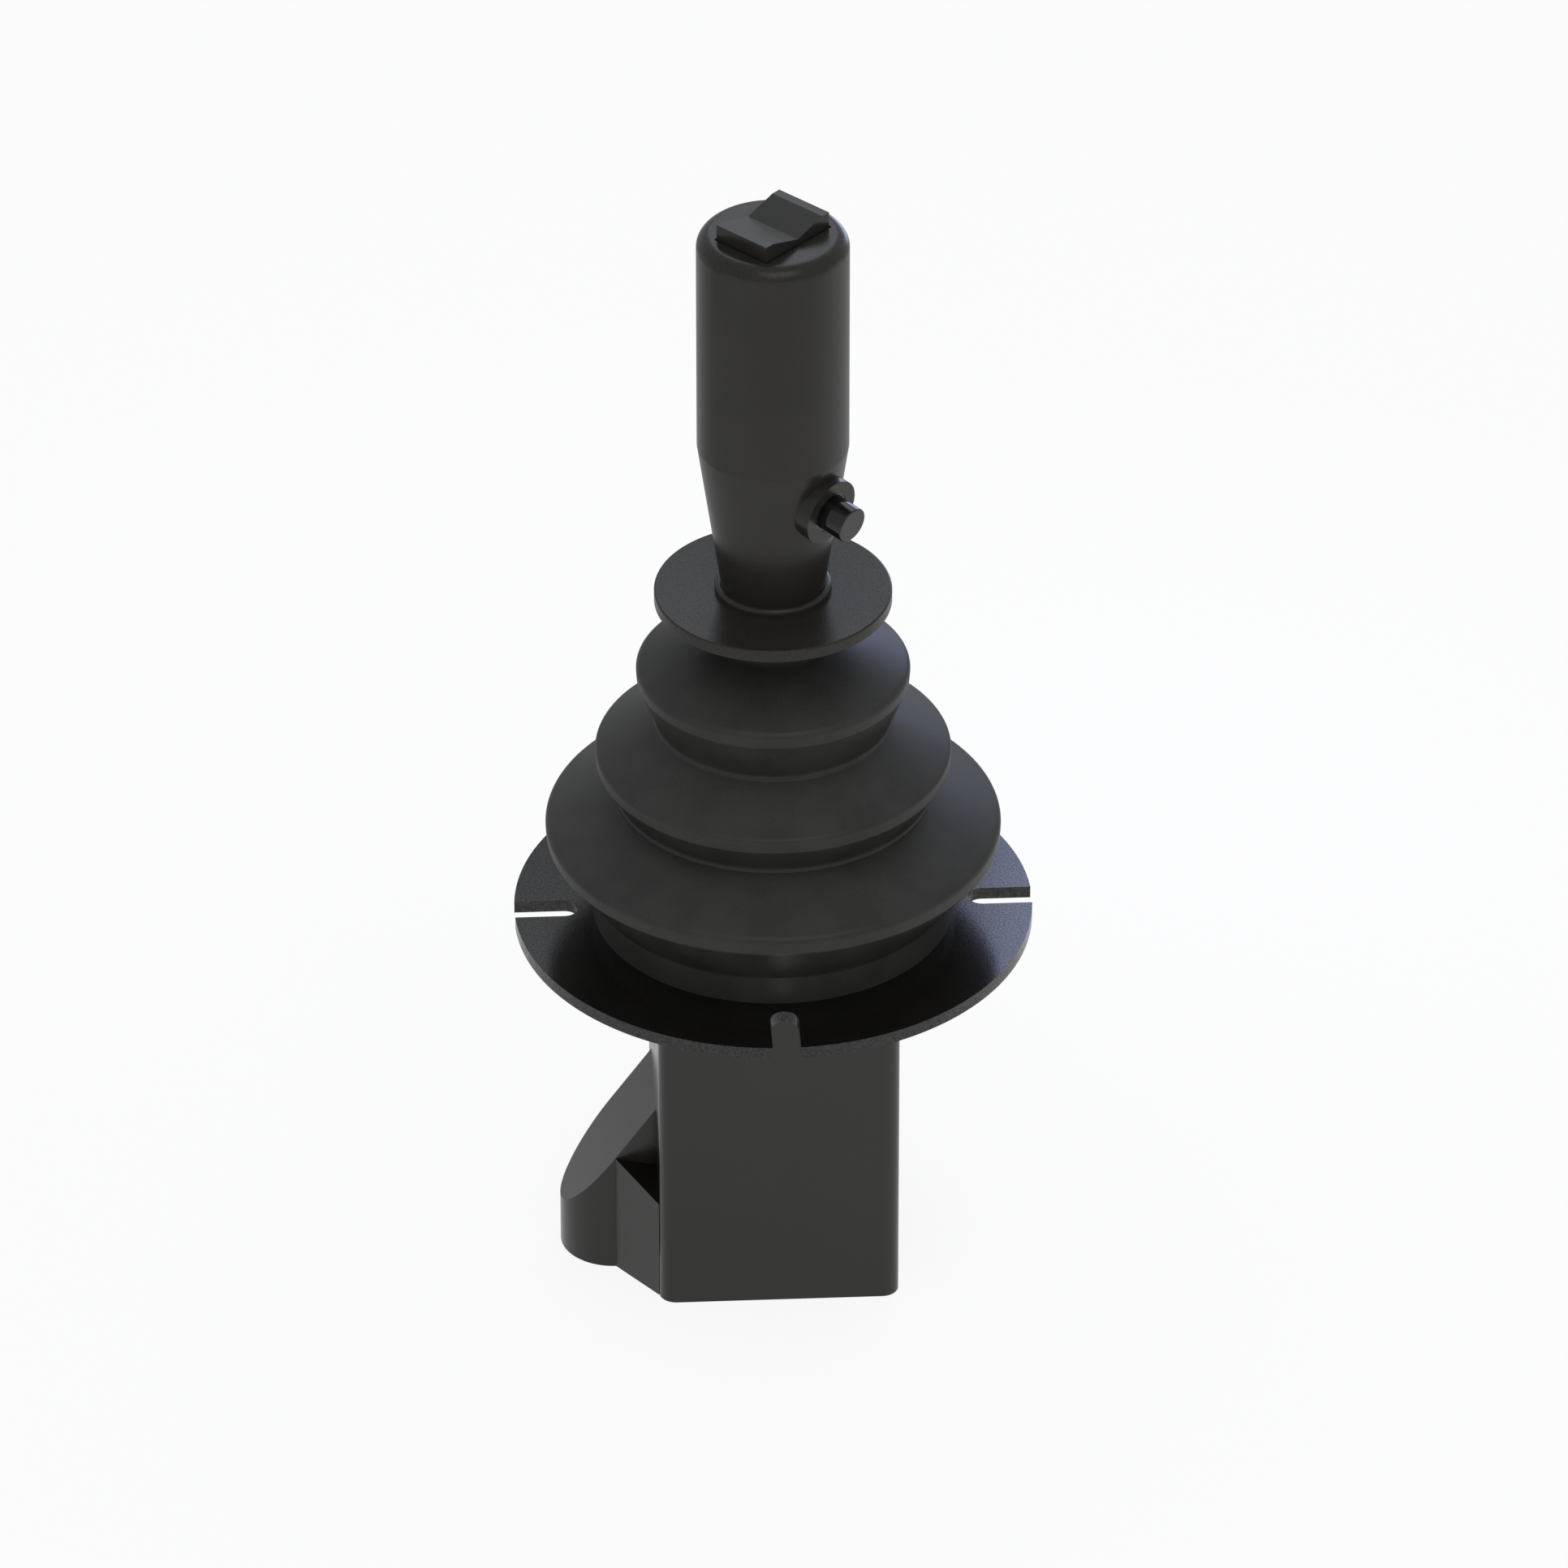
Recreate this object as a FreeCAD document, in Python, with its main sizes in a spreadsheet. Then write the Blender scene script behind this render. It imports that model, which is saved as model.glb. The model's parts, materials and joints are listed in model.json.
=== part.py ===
import FreeCAD
import Part
import Sketcher
import math
import os
from types import SimpleNamespace

# Two-axis industrial joystick for a panel, in millimetres.
# The origin is the centre of the mounting flange's underside, on the lever's axis.
# +Z points up along the lever, -Y is the front and -X the side with the connector.

SIZES = {
    # Mounting flange, a round plate with four open slots
    "flange_dia": 120.0,
    "flange_thick": 3.0,
    "seat_deep": 0.8,
    "seat_gap": 0.1,
    "slot_wide": 6.5,
    "slot_deep": 11.5,
    "slot_count": 4,
    "lever_hole_dia": 36.0,
    # Housing below the panel
    "housing_side": 56.0,
    "housing_depth": 90.0,
    "housing_corner": 4.0,
    "housing_wall": 2.5,
    "post_side": 6.8,
    "post_tall": 14.0,
    "post_hole_inset": 4.6,
    "cover_thick": 3.0,
    "cover_gap": 0.2,
    "gasket_thick": 1.0,
    # Fin that holds the connector, with its two webs
    "fin_reach": 9.6,
    "fin_dia": 25.0,
    "fin_drop": 45.6,
    "fin_slope": 55.0,
    "web_reach": 12.2,
    "web_inner_fall": 15.6,
    "web_outer_fall": 18.6,
    "web_tip": 0.4,
    "passage_wide": 12.0,
    "passage_tall": 14.0,
    "passage_lap": 4.0,
    # Connector
    "shell_dia": 19.0,
    "shell_wall": 1.5,
    "shell_tall": 14.0,
    "insert_thick": 4.0,
    "contact_count": 8,
    "contact_dia": 1.2,
    "contact_ring_dia": 10.0,
    "contact_tall": 6.0,
    # Gimbal
    "pivot_drop": 16.0,
    "tilt_angle": 20.0,
    "frame_gap": 0.5,
    "frame_wall": 4.0,
    "frame_below": 11.0,
    "ring_gap": 2.0,
    "ring_tall": 10.0,
    "pitch_spring_room": 4.0,
    "roll_spring_room": 3.5,
    "ring_wall": 4.0,
    "ring_open_corner": 3.0,
    "pin_dia": 5.0,
    "pin_inset": 1.5,
    "bush_wall": 1.5,
    "hub_side": 16.0,
    "hub_tall": 14.0,
    "hub_neck_tall": 7.0,
    "hub_socket_rise": 4.0,
    "hub_bush_long": 6.0,
    "pin_root_gap": 1.0,
    "run_gap": 0.05,
    "fit_gap": 0.02,
    # Centring springs of the gimbal
    "coil_wire": 0.7,
    "coil_dia": 10.4,
    "coil_pitch": 0.85,
    "coil_turns": 2.0,
    "coil_start_gap": 0.5,
    "coil_leg": 1.5,
    # Position sensor
    "holder_dia": 12.0,
    "holder_tall": 6.5,
    "magnet_dia": 8.0,
    "magnet_tall": 4.0,
    "standoff_dia": 4.0,
    "standoff_tall": 6.0,
    "sensor_board_inset": 0.5,
    "board_thick": 1.6,
    "chip_side": 5.0,
    "chip_tall": 1.0,
    # Electronics on the main board
    "main_board_gap": 2.0,
    "main_board_corner": 9.0,
    "main_board_drop": 62.0,
    "board_post_inset": 7.5,
    "board_post_dia": 5.0,
    "capacitor_dia": 6.3,
    "capacitor_tall": 7.7,
    "capacitor_out": 5.0,
    "capacitor_back": -15.0,
    # Restrictor gate and boot clamp
    "gate_dia": 54.0,
    "gate_thick": 2.5,
    "gate_gap": 0.25,
    "clamp_gap": 0.3,
    "clamp_wide": 4.6,
    "clamp_thick": 2.0,
    "clamp_screw_count": 6,
    # Boot: each fold climbs to its rim, has the rim's thickness, then climbs to its neck
    "boot_wall": 1.5,
    "boot_foot_thick": 1.6,
    "collar_dia": 83.8,
    "collar_tall": 7.0,
    "fold_3_climb": 13.7,
    "fold_3_dia": 105.0,
    "fold_3_thick": 3.5,
    "neck_3_climb": 8.3,
    "neck_3_dia": 73.0,
    "fold_2_climb": 8.1,
    "fold_2_dia": 81.8,
    "fold_2_thick": 2.8,
    "neck_2_climb": 8.4,
    "neck_2_dia": 54.8,
    "fold_1_climb": 11.1,
    "fold_1_dia": 62.9,
    "fold_1_thick": 3.0,
    "neck_1_climb": 8.0,
    "neck_1_dia": 26.0,
    "neck_1_tall": 9.5,
    # Lever
    "shaft_dia": 10.0,
    "shaft_bore": 5.0,
    "shaft_button_drop": 8.4,
    "cross_hole_dia": 3.0,
    "cross_hole_rise": 11.0,
    "top_plate_dia": 54.4,
    "top_plate_thick": 2.9,
    "top_plate_edge": 0.4,
    "spigot_tall": 7.0,
    "neck_ring_reach": 1.7,
    "neck_ring_tall": 2.0,
    # Grip, its heights counted from the top plate
    "grip_foot_dia": 23.4,
    "grip_dia": 34.6,
    "taper_tall": 38.8,
    "grip_tall": 90.4,
    "grip_edge": 3.5,
    "grip_wall": 3.6,
    "ledge_drop": 11.7,
    "ledge_wide": 1.0,
    "thread_past": 1.0,
    "nut_flats": 16.0,
    "nut_tall": 6.0,
    # Rocker in the grip's top, turned with the grip, its heights counted from that top
    "grip_turn": 45.0,
    "rocker_margin": 3.2,
    "rocker_narrower": 6.0,
    "rocker_rise": 3.8,
    "valley_rise": 1.4,
    "rocker_strip": 2.3,
    "rocker_angle": 7.0,
    "rocker_gap": 0.45,
    "rocker_lip_drop": 0.3,
    "rocker_foot_drop": 5.2,
    "rocker_foot_inset": 1.4,
    "rocker_wall": 2.2,
    "rocker_roof_drop": 1.2,
    "rocker_pivot_drop": 2.3,
    "rocker_pin_dia": 1.8,
    "carrier_thick": 2.5,
    "ear_thick": 1.3,
    "ear_long": 4.8,
    "ear_drop": 0.8,
    "switch_long": 3.4,
    "switch_wide": 6.0,
    "switch_tall": 4.9,
    "switch_key_side": 1.6,
    "switch_inset": 0.6,
    "rocker_spring_inset": 5.2,
    "rocker_spring_dia": 3.4,
    "rocker_spring_wire": 0.5,
    "rocker_spring_turns": 4.0,
    # Push button low on the grip, square to its taper
    "button_climb": 30.1,
    "boss_dia": 15.8,
    "boss_stand": 2.0,
    "boss_deep": 5.6,
    "spot_gap": 0.5,
    "sleeve_wall": 0.55,
    "sleeve_recess": 0.15,
    "sleeve_past": 3.1,
    "sleeve_floor": 1.0,
    "button_dia": 8.5,
    "button_stand": 6.5,
    "shoulder_deep": 2.9,
    "button_edge": 0.3,
    "button_travel": 3.0,
    "stem_dia": 3.8,
    "stem_past": 1.2,
    "clip_reach": 1.5,
    "clip_thick": 0.6,
    "clip_gap": 0.1,
    "button_nut_wall": 1.55,
    "button_nut_tall": 2.3,
    "block_wall": 2.2,
    "block_long": 12.2,
    "block_gap": 0.4,
    "press_gap": 0.4,
    "button_spring_wire": 0.6,
    "button_spring_turns": 4.0,
    "button_spring_gap": 0.6,
    # Screws
    "m3_dia": 3.0,
    "m3_head_dia": 6.0,
    "m3_head_tall": 1.7,
    "m3_long": 12.0,
    "m2_dia": 2.0,
    "m2_head_dia": 3.8,
    "m2_head_tall": 1.4,
    "m2_long": 5.0,
    "clamp_screw_dia": 2.5,
    "clamp_screw_head_dia": 4.4,
    "clamp_screw_head_tall": 1.4,
    "screw_tip_gap": 0.3,
    "hole_gap": 0.1,
    # How far a cutter runs past the face that it opens
    "overrun": 1.0,
}

# Components on the main board: middle x and y, length along x, width along y, height
BOARD_PARTS = {
    "controller": (0.0, 0.0, 10.0, 10.0, 1.4),
    "header": (-17.5, 0.0, 6.0, 16.0, 7.0),
    "transceiver": (12.0, 0.0, 4.0, 6.0, 1.6),
    "regulator": (0.0, 13.0, 8.0, 6.0, 4.4),
}
for board_part, numbers in BOARD_PARTS.items():
    for kind, number in zip(("x", "y", "long", "wide", "tall"), numbers):
        SIZES["%s_%s" % (board_part, kind)] = number

corner_count = 4
wire_sides = 6
close_enough = 1e-4


class Size:
    """A number together with the spreadsheet formula that gives it."""

    def __init__(self, value, formula):
        self.value = float(value)
        self.formula = formula

    def __add__(self, other):
        other = as_size(other)
        return Size(self.value + other.value, "(%s + %s)" % (self.formula, other.formula))

    def __radd__(self, other):
        return as_size(other) + self

    def __sub__(self, other):
        other = as_size(other)
        return Size(self.value - other.value, "(%s - %s)" % (self.formula, other.formula))

    def __rsub__(self, other):
        return as_size(other) - self

    def __mul__(self, other):
        other = as_size(other)
        return Size(self.value * other.value, "(%s * %s)" % (self.formula, other.formula))

    def __rmul__(self, other):
        return as_size(other) * self

    def __truediv__(self, other):
        other = as_size(other)
        return Size(self.value / other.value, "(%s / %s)" % (self.formula, other.formula))

    def __neg__(self):
        return Size(-self.value, "(0 - %s)" % self.formula)


def as_size(number):
    if isinstance(number, Size):
        return number
    return Size(number, "(%r)" % float(number))


def tangent(angle):
    return Size(math.tan(math.radians(angle.value)), "tan(%s * 1deg)" % angle.formula)


def cosine(angle):
    return Size(math.cos(math.radians(angle.value)), "cos(%s * 1deg)" % angle.formula)


def arctangent(slope):
    """The angle in degrees, as a plain number, of a slope."""
    return Size(math.degrees(math.atan(slope.value)), "(atan(%s) / 1deg)" % slope.formula)


doc = FreeCAD.newDocument("industrial_joystick")
sheet = doc.addObject("Spreadsheet::Sheet", "dims")
for row, (alias, number) in enumerate(SIZES.items(), start=1):
    sheet.set("A%d" % row, alias)
    sheet.set("B%d" % row, str(number))
    sheet.setAlias("B%d" % row, alias)
doc.recompute()
d = SimpleNamespace(**{alias: Size(sheet.get(alias), "dims." + alias) for alias in SIZES})

pieces = []

# Angles of the square screw patterns and of half a side of a hexagon
square_angle = as_size(45)
half_side_angle = as_size(180 / 6)

# Heights and distances that several pieces share: plate and housing
flange_top = d.flange_thick
seat = d.seat_deep
slot_arc_out = d.flange_dia / 2 - d.slot_deep
housing_inner = d.housing_side / 2 - d.housing_wall
housing_foot = -d.housing_depth
post_hole_at = housing_inner - d.post_hole_inset
cover_side = 2 * (housing_inner - d.cover_gap)
cover_top = housing_foot + d.cover_thick
gasket_top = cover_top + d.gasket_thick
fin_out = d.housing_side / 2 + d.fin_reach
shell_top = housing_foot + d.shell_tall
main_board_top = -d.main_board_drop
main_board_foot = main_board_top - d.board_thick
main_board_half = housing_inner - d.main_board_gap
board_post_at = main_board_half - d.board_post_inset

# Gimbal and position sensor
pivot = -d.pivot_drop
frame_dia = 2 * (housing_inner - d.frame_gap)
frame_bore = frame_dia - 2 * d.frame_wall
frame_foot = pivot - d.frame_below
frame_wall_mid = (frame_dia + frame_bore) / 4
frame_screw_at = frame_wall_mid * cosine(square_angle)
ring_dia = frame_bore - 2 * d.ring_gap
ring_flat = frame_bore - 2 * d.pitch_spring_room
ring_open_long = ring_flat - 2 * d.ring_wall
ring_open_wide = d.hub_side + 2 * d.roll_spring_room
bush_dia = d.pin_dia + 2 * d.bush_wall
holder_top = pivot - d.hub_tall / 2
holder_foot = holder_top - d.holder_tall
hub_neck_top = pivot + d.hub_tall / 2 + d.hub_neck_tall
sensor_board_top = frame_foot - d.standoff_tall
sensor_board_foot = sensor_board_top - d.board_thick

# Gate, boot and its clamp
gate_top = flange_top + d.gate_thick
clamp_outer_dia = d.collar_dia - 2 * d.boot_wall - 2 * d.clamp_gap
clamp_inner_dia = clamp_outer_dia - 2 * d.clamp_wide
clamp_screw_at = (clamp_outer_dia + clamp_inner_dia) / 4
collar_top = flange_top + d.collar_tall
fold_3_low = collar_top + d.fold_3_climb
neck_3_rise = fold_3_low + d.fold_3_thick + d.neck_3_climb
fold_2_low = neck_3_rise + d.fold_2_climb
neck_2_rise = fold_2_low + d.fold_2_thick + d.neck_2_climb
fold_1_low = neck_2_rise + d.fold_1_climb
neck_1_rise = fold_1_low + d.fold_1_thick + d.neck_1_climb
top_plate_foot = neck_1_rise + d.neck_1_tall
top_plate_top = top_plate_foot + d.top_plate_thick
spigot_foot = top_plate_foot - d.spigot_tall

# Grip and the lever's upper end
taper_top = top_plate_top + d.taper_tall
grip_seam = top_plate_top + d.grip_tall
grip_top = grip_seam + d.grip_edge
grip_slope = (d.grip_dia - d.grip_foot_dia) / 2 / d.taper_tall
button_rise = top_plate_top + d.button_climb
shaft_top = button_rise - d.shaft_button_drop
grip_floor = shaft_top - d.nut_tall - d.thread_past
cavity_dia = d.grip_dia - 2 * d.grip_wall
cap_bore = cavity_dia + 2 * d.ledge_wide
ledge_rise = grip_seam - d.ledge_drop
carrier_top = ledge_rise + d.carrier_thick

# Rocker
half_rocker = cavity_dia / 2 - d.rocker_margin
rocker_wide = 2 * half_rocker - d.rocker_narrower
half_foot = rocker_wide / 2 - d.rocker_foot_inset
rocker_top = grip_top + d.rocker_rise
rocker_valley = grip_top + d.valley_rise
rocker_lip = grip_top - d.rocker_lip_drop
rocker_foot = grip_top - d.rocker_foot_drop
rocker_roof = grip_top - d.rocker_roof_drop
rocker_pivot = grip_top - d.rocker_pivot_drop
switch_out = half_rocker - d.switch_inset

# Push button: distances out from the grip's axis, along the button's own
taper_skin = (d.grip_foot_dia / 2 + d.button_climb * grip_slope) * cosine(arctangent(grip_slope))
boss_face = taper_skin + d.boss_stand
boss_back = taper_skin - d.boss_deep
sleeve_bore = d.button_dia + 2 * d.hole_gap
sleeve_dia = sleeve_bore + 2 * d.sleeve_wall
sleeve_face = boss_face - d.sleeve_recess
sleeve_back = boss_back - d.sleeve_past
button_end = boss_face + d.button_stand
button_shoulder = boss_face - d.shoulder_deep
stem_end = sleeve_back - d.stem_past
clip_dia = d.stem_dia + 2 * d.clip_reach
button_nut_dia = sleeve_dia + 2 * d.button_nut_wall
block_bore = clip_dia + 2 * d.block_gap


def bind(thing, path, size):
    thing.setExpression(path, as_size(size).formula)


def new_body(label):
    body = doc.addObject("PartDesign::Body", label)
    body.Label = label
    body.AllowCompound = True
    pieces.append(body)
    return body


def origin_feature(body, role):
    return [feature for feature in body.Origin.OriginFeatures if feature.Role == role][0]


def settle(body, feature):
    body.Tip = feature
    return feature


def place(feature, body, role, at):
    """Attach a feature to an origin plane, shifted by sizes or by a whole placement."""
    feature.AttachmentSupport = (origin_feature(body, role), [""])
    feature.MapMode = "FlatFace"
    if isinstance(at, FreeCAD.Placement):
        feature.AttachmentOffset = at
        return
    for letter, size in zip("xyz", at):
        bind(feature, "AttachmentOffset.Base." + letter, size)


def primitive(body, kind, name, at, role="XY_Plane", **sizes):
    """A primitive feature, such as AdditiveCylinder, with every size bound."""
    feature = body.newObject("PartDesign::" + kind, name)
    place(feature, body, role, at)
    for key, size in sizes.items():
        bind(feature, key, size)
    return settle(body, feature)


def rod(body, name, dia, low, high, at=(0, 0), role="XY_Plane"):
    return primitive(body, "AdditiveCylinder", name, (at[0], at[1], low), role,
                     Radius=dia / 2, Height=high - low)


def bore(body, name, dia, low, high, at=(0, 0), role="XY_Plane"):
    return primitive(body, "SubtractiveCylinder", name, (at[0], at[1], low), role,
                     Radius=dia / 2, Height=high - low)


def block(body, name, low, high, cut=False):
    """A box between two corners, added or cut."""
    low = [as_size(size) for size in low]
    high = [as_size(size) for size in high]
    kind = "SubtractiveBox" if cut else "AdditiveBox"
    return primitive(body, kind, name, low, Length=high[0] - low[0],
                     Width=high[1] - low[1], Height=high[2] - low[2])


def around(body, name, features, count, role="Z_Axis"):
    """Copies of features spread evenly round an axis of the body."""
    pattern = body.newObject("PartDesign::PolarPattern", name)
    pattern.Originals = features
    pattern.Axis = (origin_feature(body, role), [""])
    pattern.Angle = 360
    bind(pattern, "Occurrences", count)
    return settle(body, pattern)


def mirrored(body, name, features, role):
    mirror = body.newObject("PartDesign::Mirrored", name)
    mirror.Originals = features
    mirror.MirrorPlane = (origin_feature(body, role), [""])
    return settle(body, mirror)


def outline(body, name, role, corners, lift=0):
    """A closed sketch whose corners are bound to sizes.

    A corner is (x, y), and the side that follows it is straight, or
    (x, y, centre x, centre y, "ccw" or "cw") where an arc follows it.
    """
    sketch = body.newObject("Sketcher::SketchObject", name)
    place(sketch, body, role, (0, 0, lift))
    ends = []
    rules = []
    count = len(corners)
    for k, corner in enumerate(corners):
        x, y = as_size(corner[0]).value, as_size(corner[1]).value
        after = corners[(k + 1) % count]
        next_x, next_y = as_size(after[0]).value, as_size(after[1]).value
        here = FreeCAD.Vector(x, y, 0)
        there = FreeCAD.Vector(next_x, next_y, 0)
        if len(corner) == 2:
            sketch.addGeometry(Part.LineSegment(here, there), False)
            ends.append((1, 2))
            continue
        centre = FreeCAD.Vector(as_size(corner[2]).value, as_size(corner[3]).value, 0)
        circle = Part.Circle(centre, FreeCAD.Vector(0, 0, 1), (here - centre).Length)
        start = math.atan2(y - centre.y, x - centre.x)
        end = math.atan2(next_y - centre.y, next_x - centre.x)
        if corner[4] == "ccw":
            sketch.addGeometry(Part.ArcOfCircle(circle, start, end), False)
            ends.append((1, 2))
        else:
            sketch.addGeometry(Part.ArcOfCircle(circle, end, start), False)
            ends.append((2, 1))
    for k in range(count):
        after = (k + 1) % count
        rules.append((("Coincident", k, ends[k][1], after, ends[after][0]), None))
    for k, corner in enumerate(corners):
        rules.append((("DistanceX", -1, 1, k, ends[k][0]), corner[0]))
        rules.append((("DistanceY", -1, 1, k, ends[k][0]), corner[1]))
        if len(corner) > 2:
            after = corners[(k + 1) % count]
            run = abs(as_size(after[0]).value - as_size(corner[0]).value)
            climb = abs(as_size(after[1]).value - as_size(corner[1]).value)
            if climb > run:
                rules.append((("DistanceX", -1, 1, k, 3), corner[2]))
            else:
                rules.append((("DistanceY", -1, 1, k, 3), corner[3]))
    constraints = []
    for rule, size in rules:
        if size is None:
            constraints.append(Sketcher.Constraint(*rule))
        else:
            constraints.append(Sketcher.Constraint(*rule, as_size(size).value))
    sketch.addConstraint(constraints)
    for k, (rule, size) in enumerate(rules):
        if isinstance(size, Size):
            bind(sketch, "Constraints[%d]" % k, size)
    return sketch


def rounded_rectangle(body, name, x, y, corner, lift):
    """A sketch of a rectangle that reaches to x and y each way and has round corners."""
    return outline(body, name, "XY_Plane", [
        (x - corner, -y, x - corner, corner - y, "ccw"), (x, corner - y),
        (x, y - corner, x - corner, y - corner, "ccw"), (x - corner, y),
        (corner - x, y, corner - x, y - corner, "ccw"), (-x, y - corner),
        (-x, corner - y, corner - x, corner - y, "ccw"), (corner - x, -y)], lift)


def extruded(body, name, sketch, kind, length, symmetric=False):
    """A Pad or a Pocket of a sketch; a Pocket cuts towards the sketch's back."""
    feature = body.newObject("PartDesign::" + kind, name)
    feature.Profile = sketch
    bind(feature, "Length", length)
    if symmetric:
        feature.SideType = "Symmetric"
    return settle(body, feature)


def turned(body, name, corners):
    """A solid of revolution about Z from a profile of (radius, height) corners."""
    sketch = outline(body, name + "_profile", "XZ_Plane", corners)
    feature = body.newObject("PartDesign::Revolution", name)
    feature.Profile = sketch
    feature.ReferenceAxis = (sketch, ["V_Axis"])
    return settle(body, feature)


def rounded(body, name, base, radius, wanted):
    """Fillet the edges of the base feature that the test picks."""
    doc.recompute()
    edges = ["Edge%d" % (k + 1) for k, edge in enumerate(base.Shape.Edges) if wanted(edge)]
    feature = body.newObject("PartDesign::Fillet", name)
    feature.Base = (base, edges)
    bind(feature, "Radius", radius)
    return settle(body, feature)


def is_upright(edge):
    box = edge.BoundBox
    return box.XLength < close_enough and box.YLength < close_enough and box.ZLength > close_enough


def is_ring(dia, rise):
    """A test for a circular edge of that diameter at that height."""
    wanted_radius = as_size(dia).value / 2
    wanted_rise = as_size(rise).value

    def test(edge):
        curve = edge.Curve
        if not isinstance(curve, Part.Circle):
            return False
        return (abs(curve.Radius - wanted_radius) < close_enough
                and abs(curve.Center.z - wanted_rise) < close_enough)

    return test


def tilted(point, direction):
    """A placement that carries +Z onto a direction from a point."""
    return FreeCAD.Placement(point, FreeCAD.Rotation(FreeCAD.Vector(0, 0, 1), direction))


def countersunk(body, name, at, face, long):
    """Holes for countersunk screws whose heads are flush with an upper face."""
    shank = bore(body, name + "_shank", d.m3_dia + 2 * d.hole_gap, face - long, face, at)
    cone = primitive(body, "SubtractiveCone", name + "_cone",
                     (at[0], at[1], face - d.m3_head_tall),
                     Radius1=d.m3_dia / 2 + d.hole_gap, Radius2=d.m3_head_dia / 2 + d.hole_gap,
                     Height=d.m3_head_tall)
    around(body, name, [shank, cone], corner_count)


def countersunk_screws(label, at, face, long):
    body = new_body(label)
    shank = rod(body, "shank", d.m3_dia, face - long, face, at)
    cone = primitive(body, "AdditiveCone", "cone", (at[0], at[1], face - d.m3_head_tall),
                     Radius1=d.m3_dia / 2, Radius2=d.m3_head_dia / 2, Height=d.m3_head_tall)
    around(body, "set", [shank, cone], corner_count)


def pan_screws(label, dia, head_dia, head_tall, seat, long, at, count):
    """Pan-head screws whose heads stand on a seat and point up."""
    body = new_body(label)
    shank = rod(body, "shank", dia, seat - long, seat, at)
    head = rod(body, "head", head_dia, seat, seat + head_tall, at)
    around(body, "set", [shank, head], count)


def coil(mean_dia, wire, span, turns):
    """A coiled wire that climbs along +Z from z = 0 to the span.

    Each half turn is an arc in a plane that tilts with the climb, so the arcs meet smoothly.
    The round wire has flat sides, which keeps a spring of many turns light.
    """
    radius = mean_dia / 2
    count = max(1, round(2 * turns))
    rise = span / count
    halves = []
    for k in range(count):
        toward = 1 if k % 2 == 0 else -1
        middle = FreeCAD.Vector(toward * radius, 0, k * rise)
        section = wire_section(wire, middle, FreeCAD.Vector(0, 1, 0))
        centre = FreeCAD.Vector(0, 0, (k + 0.5) * rise)
        axis = FreeCAD.Vector(toward * rise / 2, 0, radius)
        halves.append(section.revolve(centre, axis, 180))
    return halves[0].fuse(halves[1:])


def wire_section(wire, middle, direction):
    """The cross section of a spring's wire that runs in a direction through a point."""
    turn = FreeCAD.Rotation(FreeCAD.Vector(0, 0, 1), direction)
    corners = []
    for k in range(wire_sides + 1):
        angle = 2 * math.pi * k / wire_sides
        corner = FreeCAD.Vector(wire / 2 * math.cos(angle), wire / 2 * math.sin(angle), 0)
        corners.append(middle + turn.multVec(corner))
    return Part.Face(Part.makePolygon(corners))


def soft_feature(label, shape):
    """A piece whose form no parametric feature gives: its shape comes from the sheet's values."""
    feature = doc.addObject("Part::Feature", label)
    feature.Label = label
    feature.Shape = shape
    pieces.append(feature)
    return feature


def make_flange():
    body = new_body("flange")
    rod(body, "plate", d.flange_dia, 0, flange_top)
    half = d.slot_wide / 2
    past = d.flange_dia / 2 + d.overrun
    slot = outline(body, "slot_outline", "XY_Plane", [
        (slot_arc_out, -half), (past, -half), (past, half),
        (slot_arc_out, half, slot_arc_out, 0, "ccw")])
    cut = extruded(body, "slot", slot, "Pocket", 3 * d.flange_thick, symmetric=True)
    around(body, "slots", [cut], d.slot_count)
    half_seat = d.housing_side / 2 + d.seat_gap
    recess = rounded_rectangle(body, "housing_seat_outline", half_seat, half_seat, d.housing_corner, seat)
    extruded(body, "housing_seat", recess, "Pocket", seat)
    bore(body, "lever_hole", d.lever_hole_dia, 0, flange_top)
    countersunk(body, "frame_holes", (frame_screw_at, frame_screw_at), flange_top, d.flange_thick)
    countersunk(body, "housing_holes", (post_hole_at, post_hole_at), flange_top, d.flange_thick)
    gate = bore(body, "gate_tap", d.clamp_screw_dia, seat, flange_top, (frame_wall_mid, 0))
    around(body, "gate_taps", [gate], corner_count)
    clamp = bore(body, "clamp_tap", d.clamp_screw_dia, 0, flange_top, (0, clamp_screw_at))
    around(body, "clamp_taps", [clamp], d.clamp_screw_count)


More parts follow.
